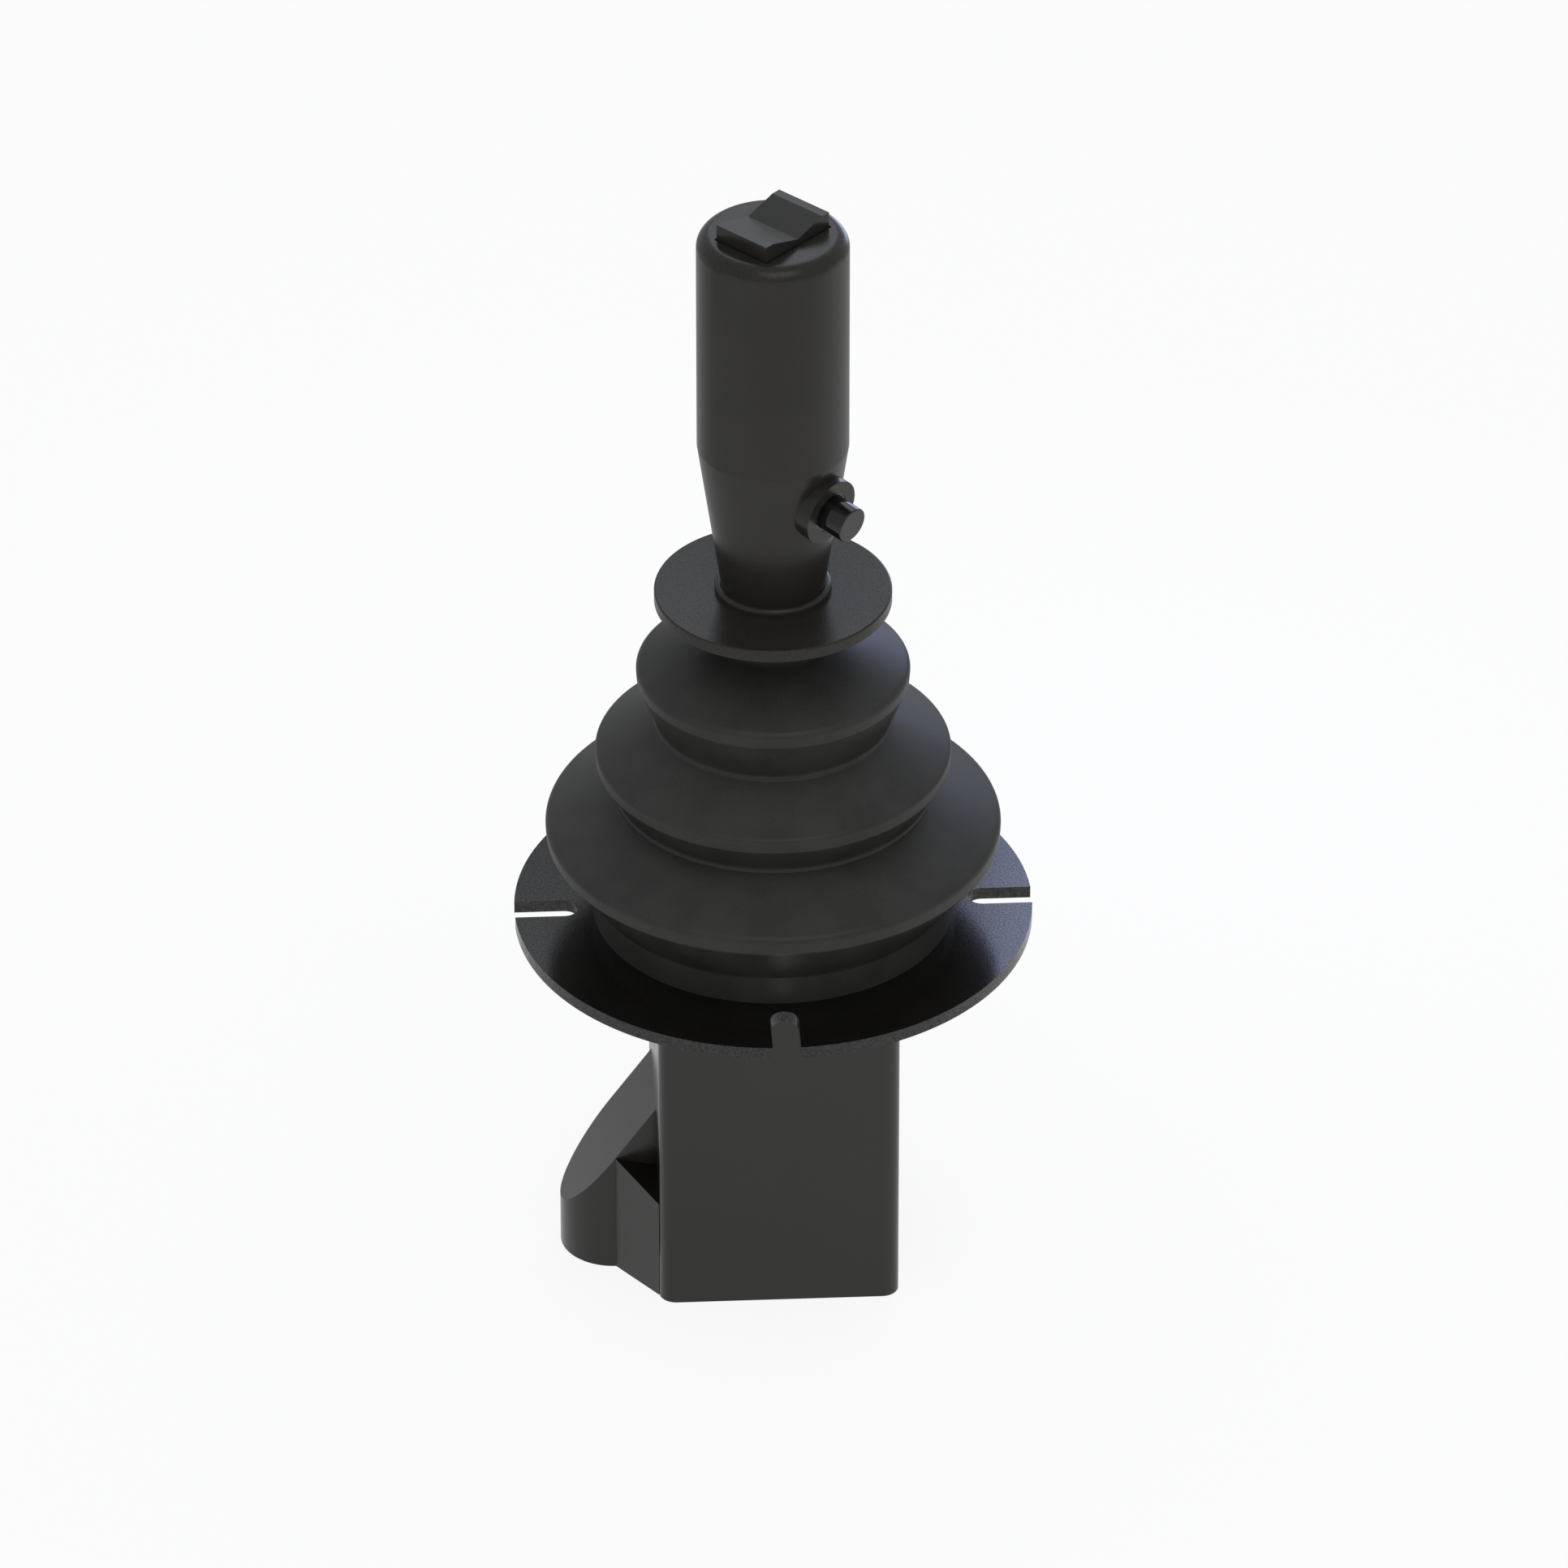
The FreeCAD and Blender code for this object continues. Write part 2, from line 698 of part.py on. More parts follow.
def make_housing():
    body = new_body("housing")
    half = d.housing_side / 2
    box = block(body, "case", (-half, -half, housing_foot), (half, half, seat))
    rounded(body, "case_corners", box, d.housing_corner, is_upright)
    fin_radius = d.fin_dia / 2
    fin_top = -d.fin_drop
    inside = d.housing_side / 2 - d.housing_wall / 2
    plan = outline(body, "fin_plan", "XY_Plane", [
        (-inside, -fin_radius), (-inside, fin_radius), (-fin_out, fin_radius,
         -fin_out, 0, "ccw"), (-fin_out, -fin_radius)], lift=housing_foot)
    extruded(body, "fin", plan, "Pad", fin_top - housing_foot)
    past = fin_out + fin_radius + d.overrun
    fall = (past - half) * tangent(d.fin_slope)
    roof = outline(body, "fin_roof_outline", "XZ_Plane", [
        (-half, fin_top), (-half, fin_top + d.overrun), (-past, fin_top + d.overrun),
        (-past, fin_top - fall)])
    extruded(body, "fin_roof", roof, "Pocket", d.fin_dia + 2 * d.overrun, symmetric=True)
    buried = fin_radius - d.web_tip
    web_edge = fin_top - (fin_out - half) * tangent(d.fin_slope)
    root = outline(body, "web_root", "YZ_Plane", [
        (-buried, housing_foot), (-buried, fin_top - d.web_inner_fall),
        (-fin_radius - d.web_reach, fin_top - d.web_outer_fall),
        (-fin_radius - d.web_reach, housing_foot)], lift=-half)
    tip = outline(body, "web_tip", "YZ_Plane", [
        (-buried, housing_foot), (-buried, web_edge),
        (-fin_radius, web_edge), (-fin_radius, housing_foot)], lift=-fin_out)
    web = body.newObject("PartDesign::AdditiveLoft", "web")
    web.Profile = root
    web.Sections = [tip]
    web.Ruled = True
    settle(body, web)
    mirrored(body, "webs", [web], "XZ_Plane")
    block(body, "interior", (-housing_inner, -housing_inner, housing_foot),
          (housing_inner, housing_inner, seat), cut=True)
    bury = housing_inner + d.housing_wall / 2
    near = housing_inner - d.post_side
    upper = block(body, "upper_post", (near, near, -d.post_tall), (bury, bury, seat))
    lower = block(body, "lower_post", (near, near, gasket_top),
                  (bury, bury, gasket_top + d.post_tall))
    around(body, "posts", [upper, lower], corner_count)
    at = (post_hole_at, post_hole_at)
    tap = bore(body, "upper_tap", d.m3_dia, -d.m3_long, seat, at)
    low_tap = bore(body, "lower_tap", d.m3_dia, gasket_top, housing_foot + d.m3_long, at)
    around(body, "taps", [tap, low_tap], corner_count)
    bore(body, "connector_bore", d.shell_dia + 2 * d.fit_gap, housing_foot, shell_top, (-fin_out, 0))
    block(body, "wire_passage",
          (-fin_out, -d.passage_wide / 2, shell_top - d.passage_lap),
          (d.overrun - housing_inner, d.passage_wide / 2, shell_top - d.passage_lap + d.passage_tall),
          cut=True)


def make_bottom_cover():
    body = new_body("bottom_cover")
    half = cover_side / 2
    block(body, "plate", (-half, -half, housing_foot), (half, half, cover_top))
    post = rod(body, "board_post", d.board_post_dia, cover_top, main_board_foot,
               (board_post_at, board_post_at))
    around(body, "board_posts", [post], corner_count)
    tap = bore(body, "board_tap", d.m2_dia, main_board_foot - d.m2_long, main_board_foot,
               (board_post_at, board_post_at))
    around(body, "board_taps", [tap], corner_count)
    at = (post_hole_at, post_hole_at)
    shank = bore(body, "hole_shank", d.m3_dia + 2 * d.hole_gap, housing_foot, cover_top, at)
    cone = primitive(body, "SubtractiveCone", "hole_cone", (at[0], at[1], housing_foot),
                     Radius1=d.m3_head_dia / 2 + d.hole_gap, Radius2=d.m3_dia / 2 + d.hole_gap,
                     Height=d.m3_head_tall)
    around(body, "holes", [shank, cone], corner_count)

    body = new_body("cover_gasket")
    block(body, "sheet", (-half, -half, cover_top), (half, half, gasket_top))
    inner = half - d.post_side
    block(body, "window", (-inner, -inner, cover_top), (inner, inner, gasket_top), cut=True)
    hole = bore(body, "hole", d.m3_dia + 2 * d.hole_gap, cover_top, gasket_top, at)
    around(body, "holes", [hole], corner_count)

    body = new_body("cover_screws")
    shank = rod(body, "shank", d.m3_dia, housing_foot, housing_foot + d.m3_long, at)
    cone = primitive(body, "AdditiveCone", "cone", (at[0], at[1], housing_foot),
                     Radius1=d.m3_head_dia / 2, Radius2=d.m3_dia / 2, Height=d.m3_head_tall)
    around(body, "set", [shank, cone], corner_count)


def make_connector():
    body = new_body("connector_shell")
    at = (-fin_out, 0)
    rod(body, "sleeve", d.shell_dia, housing_foot, shell_top, at)
    bore(body, "socket", d.shell_dia - 2 * d.shell_wall, housing_foot, shell_top, at)

    body = new_body("connector_insert")
    insert_foot = shell_top - d.insert_thick
    rod(body, "disc", d.shell_dia - 2 * d.shell_wall, insert_foot, shell_top, at)

    body = new_body("connector_pins")
    pin = rod(body, "pin", d.contact_dia, insert_foot - d.contact_tall, insert_foot,
              (d.contact_ring_dia / 2, 0))
    around(body, "set", [pin], d.contact_count)
    bind(body, "Placement.Base.x", -fin_out)


def make_gimbal_frame():
    body = new_body("gimbal_frame")
    rod(body, "ring", frame_dia, frame_foot, seat)
    bore(body, "opening", frame_bore, frame_foot, seat)
    reach = frame_dia / 2
    bore(body, "bush_bores", bush_dia, -reach, reach, (0, pivot), role="YZ_Plane")
    leg = bore(body, "spring_hole", d.coil_wire + 2 * d.hole_gap, 0, reach,
               (d.coil_dia / 2, pivot), role="YZ_Plane")
    around(body, "spring_holes", [leg], 2)
    at = (frame_screw_at, frame_screw_at)
    tap = bore(body, "screw_tap", d.m3_dia, flange_top - d.m3_long, seat, at)
    low_tap = bore(body, "standoff_tap", d.m2_dia, frame_foot, frame_foot + d.m2_long, at)
    around(body, "taps", [tap, low_tap], corner_count)

    body = new_body("trunnion_bushes")
    inner = frame_bore / 2
    sleeve = rod(body, "sleeve", bush_dia, inner, reach, (0, pivot), role="YZ_Plane")
    hole = bore(body, "hole", d.pin_dia + 2 * d.run_gap, inner, reach, (0, pivot), role="YZ_Plane")
    mirrored(body, "pair", [sleeve, hole], "YZ_Plane")


def make_gimbal_ring():
    body = new_body("gimbal_ring")
    low = pivot - d.ring_tall / 2
    high = pivot + d.ring_tall / 2
    radius = ring_dia / 2
    half_long = ring_open_long / 2
    half_wide = ring_open_wide / 2
    rod(body, "disc", ring_dia, low, high)
    flat = block(body, "flat", (ring_flat / 2, -radius, low),
                 (radius + d.overrun, radius, high), cut=True)
    mirrored(body, "flats", [flat], "YZ_Plane")
    window = rounded_rectangle(body, "window_outline", half_long, half_wide, d.ring_open_corner, high)
    extruded(body, "window", window, "Pocket", d.ring_tall)
    bore(body, "trunnion_bore", d.pin_dia, -radius, radius, (0, pivot), role="YZ_Plane")
    bore(body, "cross_bore", d.pin_dia, d.pin_inset - radius, radius - d.pin_inset,
         (0, pivot), role="XZ_Plane")
    deep = d.coil_leg + d.hole_gap
    leg = bore(body, "pitch_leg_hole", d.coil_wire + 2 * d.hole_gap, ring_flat / 2 - deep,
               ring_flat / 2, (d.coil_dia / 2, pivot), role="YZ_Plane")
    around(body, "pitch_leg_holes", [leg], 2)
    leg = bore(body, "roll_leg_hole", d.coil_wire + 2 * d.hole_gap, half_wide, half_wide + deep,
               (-d.coil_dia / 2, pivot), role="XZ_Plane")
    around(body, "roll_leg_holes", [leg], 2)

    body = new_body("trunnion_pins")
    pin = rod(body, "pin", d.pin_dia - d.fit_gap, half_long + d.pin_root_gap, frame_dia / 2,
              (0, pivot), role="YZ_Plane")
    mirrored(body, "pair", [pin], "YZ_Plane")

    body = new_body("cross_pin")
    rod(body, "pin", d.pin_dia - d.fit_gap, d.pin_inset - radius, radius - d.pin_inset, (0, pivot),
        role="XZ_Plane")


def make_centring_springs():
    """Two torsion springs for each axis of the gimbal, each with a leg in the part on either side."""
    wire = d.coil_wire.value
    out = d.coil_dia.value / 2
    leg = d.coil_leg.value
    turns = d.coil_turns.value
    span = d.coil_pitch.value * turns
    gap = d.coil_start_gap.value + wire / 2
    up = FreeCAD.Vector(0, 0, 1)
    along_x = FreeCAD.Rotation(FreeCAD.Vector(0, 1, 0), up, FreeCAD.Vector(1, 0, 0), "ZXY")
    along_y = FreeCAD.Rotation(FreeCAD.Vector(1, 0, 0), -up, FreeCAD.Vector(0, 1, 0), "ZXY")
    end_side = -1 if round(2 * turns) % 2 else 1
    for label, near, far, lying in (
            ("pitch_springs", ring_flat / 2, frame_bore / 2, along_x),
            ("roll_springs", d.hub_side / 2, ring_open_wide / 2, along_y)):
        room = far.value - near.value - gap - span
        first = wire_section(wire, FreeCAD.Vector(out, 0, 0), up).extrude(up * -(gap + leg))
        end = FreeCAD.Vector(end_side * out, 0, span)
        last = wire_section(wire, end, up).extrude(up * (room + leg))
        spring = coil(2 * out, wire, span, turns).fuse([first, last])
        shapes = []
        for half_turn in (0, 180):
            turn = FreeCAD.Rotation(up, half_turn) * lying
            copy = spring.copy()
            copy.Placement = FreeCAD.Placement(up * pivot.value + turn.multVec(up * (near.value + gap)), turn)
            shapes.append(copy)
        soft_feature(label, Part.makeCompound(shapes))


def make_lever_foot():
    half = d.hub_side / 2
    low = pivot - d.hub_tall / 2
    high = pivot + d.hub_tall / 2
    socket_foot = pivot + d.hub_socket_rise
    body = new_body("lever_hub")
    block(body, "block", (-half, -half, low), (half, half, high))
    rod(body, "neck", d.hub_side, high, hub_neck_top)
    bore(body, "socket", d.shaft_dia + 2 * d.fit_gap, socket_foot, hub_neck_top)
    bore(body, "cross_bore", bush_dia, -half, half, (0, pivot), role="XZ_Plane")
    leg = bore(body, "leg_hole", d.coil_wire + 2 * d.hole_gap, half - d.coil_leg - d.hole_gap, half,
               (-d.coil_dia / 2, pivot), role="XZ_Plane")
    around(body, "leg_holes", [leg], 2)
    cross_rise = pivot + d.cross_hole_rise
    bore(body, "roll_pin_hole", d.cross_hole_dia, -half, half, (0, cross_rise), role="YZ_Plane")

    body = new_body("hub_bushes")
    sleeve = rod(body, "sleeve", bush_dia - d.fit_gap, half - d.hub_bush_long, half, (0, pivot),
                 role="XZ_Plane")
    hole = bore(body, "hole", d.pin_dia + 2 * d.run_gap, half - d.hub_bush_long, half, (0, pivot),
                role="XZ_Plane")
    mirrored(body, "pair", [sleeve, hole], "XZ_Plane")

    body = new_body("lever_shaft")
    rod(body, "tube", d.shaft_dia, socket_foot, shaft_top)
    bore(body, "wire_bore", d.shaft_bore, socket_foot, shaft_top)
    bore(body, "roll_pin_hole", d.cross_hole_dia, -d.shaft_dia, d.shaft_dia, (0, cross_rise),
         role="YZ_Plane")

    body = new_body("shaft_roll_pin")
    rod(body, "pin", d.cross_hole_dia - d.fit_gap, d.hole_gap - half, half - d.hole_gap,
        (0, cross_rise), role="YZ_Plane")

    body = new_body("magnet_holder")
    rod(body, "cup", d.holder_dia, holder_foot, holder_top)
    bore(body, "pocket", d.magnet_dia + 2 * d.fit_gap, holder_foot, holder_foot + d.magnet_tall)

    body = new_body("magnet")
    rod(body, "disc", d.magnet_dia, holder_foot, holder_foot + d.magnet_tall)


def make_sensor_board():
    at = (frame_screw_at, frame_screw_at)
    body = new_body("sensor_standoffs")
    tube = rod(body, "tube", d.standoff_dia, sensor_board_top, frame_foot, at)
    hole = bore(body, "hole", d.m2_dia, sensor_board_top, frame_foot, at)
    around(body, "set", [tube, hole], corner_count)

    body = new_body("sensor_board")
    rod(body, "board", frame_dia - 2 * d.sensor_board_inset, sensor_board_foot, sensor_board_top)
    hole = bore(body, "hole", d.m2_dia + 2 * d.hole_gap, sensor_board_foot, sensor_board_top, at)
    around(body, "holes", [hole], corner_count)

    body = new_body("sensor_chip")
    half = d.chip_side / 2
    block(body, "chip", (-half, -half, sensor_board_top), (half, half, sensor_board_top + d.chip_tall))

    body = new_body("sensor_screws")
    long = d.board_thick + d.standoff_tall + d.m2_long
    shank = rod(body, "shank", d.m2_dia, sensor_board_foot, sensor_board_foot + long, at)
    head = rod(body, "head", d.m2_head_dia, sensor_board_foot - d.m2_head_tall, sensor_board_foot, at)
    around(body, "set", [shank, head], corner_count)


def make_main_board():
    half = main_board_half
    near = half - d.main_board_corner
    body = new_body("main_board")
    plan = outline(body, "plan", "XY_Plane", [
        (near, -half), (half, -near), (half, near), (near, half),
        (-near, half), (-half, near), (-half, -near), (-near, -half)], lift=main_board_foot)
    extruded(body, "board", plan, "Pad", d.board_thick)
    at = (board_post_at, board_post_at)
    hole = bore(body, "hole", d.m2_dia + 2 * d.hole_gap, main_board_foot, main_board_top, at)
    around(body, "holes", [hole], corner_count)
    pan_screws("main_board_screws", d.m2_dia, d.m2_head_dia, d.m2_head_tall, main_board_top,
               d.m2_long + d.board_thick, at, corner_count)

    body = new_body("board_components")
    top = main_board_top
    for name in BOARD_PARTS:
        x, y, long, wide, tall = (getattr(d, "%s_%s" % (name, kind))
                                  for kind in ("x", "y", "long", "wide", "tall"))
        block(body, name, (x - long / 2, y - wide / 2, top), (x + long / 2, y + wide / 2, top + tall))
    capacitor = rod(body, "capacitor", d.capacitor_dia, top, top + d.capacitor_tall,
                    (d.capacitor_out, d.capacitor_back))
    mirrored(body, "capacitors", [capacitor], "YZ_Plane")


def make_gate():
    body = new_body("gate_plate")
    reach = (gate_top - pivot) * tangent(d.tilt_angle) / cosine(d.tilt_angle)
    thick = d.shaft_dia / 2 / cosine(d.tilt_angle) / cosine(d.tilt_angle)
    half = reach + thick + d.gate_gap
    rod(body, "disc", d.gate_dia, flange_top, gate_top)
    block(body, "gate", (-half, -half, flange_top), (half, half, gate_top), cut=True)
    at = (frame_wall_mid, 0)
    hole = bore(body, "hole", d.clamp_screw_dia + 2 * d.hole_gap, flange_top, gate_top, at)
    around(body, "holes", [hole], corner_count)
    long = gate_top - seat - d.screw_tip_gap
    pan_screws("gate_screws", d.clamp_screw_dia, d.clamp_screw_head_dia, d.clamp_screw_head_tall,
               gate_top, long, at, corner_count)


def make_boot_clamp():
    foot_top = flange_top + d.boot_foot_thick
    clamp_top = foot_top + d.clamp_thick
    body = new_body("boot_clamp_ring")
    rod(body, "ring", clamp_outer_dia, foot_top, clamp_top)
    bore(body, "opening", clamp_inner_dia, foot_top, clamp_top)
    at = (0, clamp_screw_at)
    hole = bore(body, "hole", d.clamp_screw_dia + 2 * d.hole_gap, foot_top, clamp_top, at)
    around(body, "holes", [hole], d.clamp_screw_count)
    pan_screws("clamp_screws", d.clamp_screw_dia, d.clamp_screw_head_dia,
               d.clamp_screw_head_tall, clamp_top, clamp_top - d.screw_tip_gap, at,
               d.clamp_screw_count)


def make_boot():
    body = new_body("boot")
    foot_top = flange_top + d.boot_foot_thick
    wall = d.boot_wall
    top = top_plate_foot
    # Each fold is a rounded rim between two cones; the inner side follows it one wall in
    folds = ((d.fold_3_dia, fold_3_low, d.fold_3_thick, d.neck_3_dia, neck_3_rise),
             (d.fold_2_dia, fold_2_low, d.fold_2_thick, d.neck_2_dia, neck_2_rise),
             (d.fold_1_dia, fold_1_low, d.fold_1_thick, d.neck_1_dia, neck_1_rise))
    outside = [(d.collar_dia / 2, flange_top), (d.collar_dia / 2, collar_top)]
    inside = [(d.collar_dia / 2 - wall, foot_top), (d.collar_dia / 2 - wall, collar_top + wall / 2)]
    for rim_dia, low, thick, neck_dia, neck_rise in folds:
        middle = low + thick / 2
        flat = rim_dia / 2 - thick / 2
        outside.append((flat, low, flat, middle, "ccw"))
        outside.append((flat, low + thick))
        outside.append((neck_dia / 2, neck_rise))
        inside.append((flat - wall / 2, middle))
        inside.append((neck_dia / 2 - wall, neck_rise - wall / 2))
    outside.append((d.neck_1_dia / 2, top))
    inside.append((d.neck_1_dia / 2 - wall, top))
    corners = outside + inside[::-1]
    corners.append((clamp_inner_dia / 2, foot_top))
    corners.append((clamp_inner_dia / 2, flange_top))
    turned(body, "skin", corners)
    hole = bore(body, "foot_hole", d.clamp_screw_dia + 2 * d.hole_gap, flange_top, foot_top,
                (0, clamp_screw_at))
    around(body, "foot_holes", [hole], d.clamp_screw_count)


def make_lever_top():
    body = new_body("boot_spigot")
    rod(body, "ring", d.neck_1_dia - 2 * d.boot_wall, spigot_foot, top_plate_foot)
    bore(body, "bore", d.shaft_dia + 2 * d.fit_gap, spigot_foot, top_plate_foot)

    body = new_body("boot_top_plate")
    disc = rod(body, "disc", d.top_plate_dia, top_plate_foot, top_plate_top)
    rounded(body, "edge", disc, d.top_plate_edge, is_ring(d.top_plate_dia, top_plate_top))
    bore(body, "bore", d.shaft_dia + 2 * d.fit_gap, top_plate_foot, top_plate_top)

    body = new_body("neck_ring")
    outer = d.grip_foot_dia / 2 + d.neck_ring_reach
    half = d.neck_ring_tall / 2
    middle = top_plate_top + half
    flat = outer - half
    foot_radius = d.grip_foot_dia / 2 + d.fit_gap
    turned(body, "bead", [
        (foot_radius, top_plate_top), (outer, top_plate_top), (outer, middle, flat, middle, "ccw"),
        (flat, top_plate_top + d.neck_ring_tall),
        (foot_radius + d.neck_ring_tall * grip_slope, top_plate_top + d.neck_ring_tall)])


def button_axis():
    """The button's placement: square to the grip's taper, facing front right."""
    turn = math.radians(-d.grip_turn.value)
    direction = FreeCAD.Vector(math.cos(turn), math.sin(turn), -grip_slope.value)
    return tilted(FreeCAD.Vector(0, 0, button_rise.value), direction)


def along(axis, distance):
    """The placement moved along its own +Z."""
    return axis.multiply(FreeCAD.Placement(FreeCAD.Vector(0, 0, as_size(distance).value),
                                           FreeCAD.Rotation()))


def turn_with_grip(body):
    """Turn a piece that was modelled square to the grip about the lever's axis."""
    bind(body, "Placement.Rotation.Angle", d.grip_turn)


def make_grip():
    axis = button_axis()
    radius = d.grip_dia / 2
    body = new_body("grip_body")
    floor_radius = d.grip_foot_dia / 2 + (grip_floor - top_plate_top) * grip_slope - d.grip_wall
    turned(body, "shell", [
        (d.shaft_dia / 2 + d.fit_gap, top_plate_top), (d.grip_foot_dia / 2, top_plate_top),
        (radius, taper_top), (radius, grip_seam), (cap_bore / 2, grip_seam),
        (cap_bore / 2, ledge_rise), (cavity_dia / 2, ledge_rise),
        (cavity_dia / 2, taper_top), (floor_radius, grip_floor),
        (d.shaft_dia / 2 + d.fit_gap, grip_floor)])
    primitive(body, "AdditiveCylinder", "button_boss", along(axis, boss_back),
              Radius=d.boss_dia / 2, Height=boss_face - boss_back)
    primitive(body, "SubtractiveCylinder", "nut_seat", axis,
              Radius=button_nut_dia / 2 + d.spot_gap, Height=boss_back)
    primitive(body, "SubtractiveCylinder", "button_bore", along(axis, boss_back - d.overrun),
              Radius=sleeve_dia / 2 + d.fit_gap, Height=boss_face - boss_back + 2 * d.overrun)

    body = new_body("grip_nut")
    flats = d.nut_flats / 2
    point = flats / cosine(half_side_angle)
    nut = outline(body, "hexagon", "XY_Plane", [
        (point, 0), (point / 2, flats), (-point / 2, flats),
        (-point, 0), (-point / 2, -flats), (point / 2, -flats)], lift=grip_floor)
    extruded(body, "nut", nut, "Pad", d.nut_tall)
    bore(body, "thread", d.shaft_dia + 2 * d.fit_gap, grip_floor, grip_floor + d.nut_tall)

    body = new_body("grip_cap")
    edge = grip_top - grip_seam
    turned(body, "cap", [
        (0, grip_top), (0, grip_seam), (cavity_dia / 2, grip_seam),
        (cavity_dia / 2, carrier_top), (cap_bore / 2 - d.fit_gap, carrier_top),
        (cap_bore / 2 - d.fit_gap, grip_seam),
        (radius, grip_seam, radius - edge, grip_seam, "ccw"), (radius - edge, grip_top)])
    half_long = half_rocker + d.rocker_gap
    half_wide = rocker_wide / 2 + d.rocker_gap
    block(body, "rocker_opening", (-half_long, -half_wide, grip_seam),
          (half_long, half_wide, grip_top), cut=True)
    turn_with_grip(body)


def make_rocker():
    half_wide = rocker_wide / 2
    strip = half_rocker - d.rocker_strip
    body = new_body("rocker_cap")
    profile = outline(body, "profile", "XZ_Plane", [
        (-half_rocker, rocker_lip), (half_rocker, rocker_lip), (half_rocker, rocker_top),
        (strip, rocker_top), (0, rocker_valley), (-strip, rocker_top),
        (-half_rocker, rocker_top)])
    extruded(body, "face", profile, "Pad", rocker_wide, symmetric=True)
    foot = half_foot
    block(body, "foot", (-half_rocker, -foot, rocker_foot), (half_rocker, foot, rocker_lip))
    long = half_rocker - d.rocker_wall
    wide = foot - d.rocker_wall
    block(body, "hollow", (-long, -wide, rocker_foot), (long, wide, rocker_roof), cut=True)
    bore(body, "pin_bore", d.rocker_pin_dia + 2 * d.run_gap, -half_wide, half_wide,
         (0, rocker_pivot), role="XZ_Plane")
    turn_with_grip(body)

    body = new_body("rocker_pin")
    ear_out = foot + d.ear_thick + d.rocker_gap / 2
    rod(body, "pin", d.rocker_pin_dia, -ear_out, ear_out, (0, rocker_pivot), role="XZ_Plane")
    turn_with_grip(body)

    body = new_body("switch_carrier")
    rod(body, "disc", cap_bore - 2 * d.fit_gap, ledge_rise, carrier_top)
    bore(body, "wire_hole", d.shaft_bore, ledge_rise, carrier_top)
    ear_in = foot + d.rocker_gap / 2
    ear = block(body, "ear", (-d.ear_long / 2, ear_in, carrier_top),
                (d.ear_long / 2, ear_out, grip_top - d.ear_drop))
    mirrored(body, "ears", [ear], "XZ_Plane")
    bore(body, "pin_bore", d.rocker_pin_dia + 2 * d.fit_gap, -ear_out - d.overrun,
         ear_out + d.overrun, (0, rocker_pivot), role="XZ_Plane")
    turn_with_grip(body)

    body = new_body("rocker_switches")
    low = switch_out - d.switch_long / 2
    high = switch_out + d.switch_long / 2
    half = d.switch_wide / 2
    case_top = carrier_top + d.switch_tall
    case = block(body, "case", (low, -half, carrier_top), (high, half, case_top))
    half_key = d.switch_key_side / 2
    reach = (switch_out + half_key) * tangent(d.rocker_angle)
    key = block(body, "key", (switch_out - half_key, -half_key, case_top),
                (switch_out + half_key, half_key, rocker_foot - reach - d.hole_gap))
    mirrored(body, "pair", [case, key], "YZ_Plane")
    turn_with_grip(body)

    wire = d.rocker_spring_wire.value
    rocker_spring_out = half_rocker.value - d.rocker_spring_inset.value
    room = rocker_roof.value - carrier_top.value - wire
    shapes = []
    for sign in (1, -1):
        shape = coil(d.rocker_spring_dia.value, wire, room, d.rocker_spring_turns.value)
        shape.translate(FreeCAD.Vector(sign * rocker_spring_out, 0, carrier_top.value + wire / 2))
        shapes.append(shape)
    springs = Part.makeCompound(shapes)
    springs.rotate(FreeCAD.Vector(0, 0, 0), FreeCAD.Vector(0, 0, 1), d.grip_turn.value)
    soft_feature("rocker_springs", springs)


def make_button():
    axis = button_axis()

    body = new_body("button_plunger")
    head = rod(body, "head", d.button_dia, button_shoulder, button_end)
    rounded(body, "edge", head, d.button_edge, is_ring(d.button_dia, button_end))
    rod(body, "stem", d.stem_dia, stem_end, button_shoulder)
    body.Placement = axis

    body = new_body("button_clip")
    clip_top = sleeve_back - d.clip_gap
    rod(body, "ring", clip_dia, clip_top - d.clip_thick, clip_top)
    bore(body, "hole", d.stem_dia + d.fit_gap, clip_top - d.clip_thick, clip_top)
    body.Placement = axis

    body = new_body("button_sleeve")
    rod(body, "barrel", sleeve_dia, sleeve_back, sleeve_face)
    bore(body, "barrel_bore", sleeve_bore, sleeve_back + d.sleeve_floor, sleeve_face)
    bore(body, "stem_bore", d.stem_dia + 2 * d.hole_gap, sleeve_back, sleeve_back + d.sleeve_floor)
    body.Placement = axis

    body = new_body("button_nut")
    rod(body, "nut", button_nut_dia, boss_back - d.button_nut_tall, boss_back)
    bore(body, "thread", sleeve_dia + 2 * d.fit_gap, boss_back - d.button_nut_tall, boss_back)
    body.Placement = axis

    body = new_body("button_switch")
    rod(body, "case", block_bore + 2 * d.block_wall, sleeve_back - d.block_long, sleeve_back)
    bore(body, "well", block_bore, stem_end - d.button_travel - d.press_gap, sleeve_back)
    body.Placement = axis

    wire = d.button_spring_wire.value
    floor = sleeve_back.value + d.sleeve_floor.value
    room = button_shoulder.value - floor - wire
    mean_dia = sleeve_bore.value - wire - 2 * d.button_spring_gap.value
    spring = coil(mean_dia, wire, room, d.button_spring_turns.value)
    spring.translate(FreeCAD.Vector(0, 0, floor + wire / 2))
    spring.Placement = axis.multiply(spring.Placement)
    soft_feature("button_spring", spring)


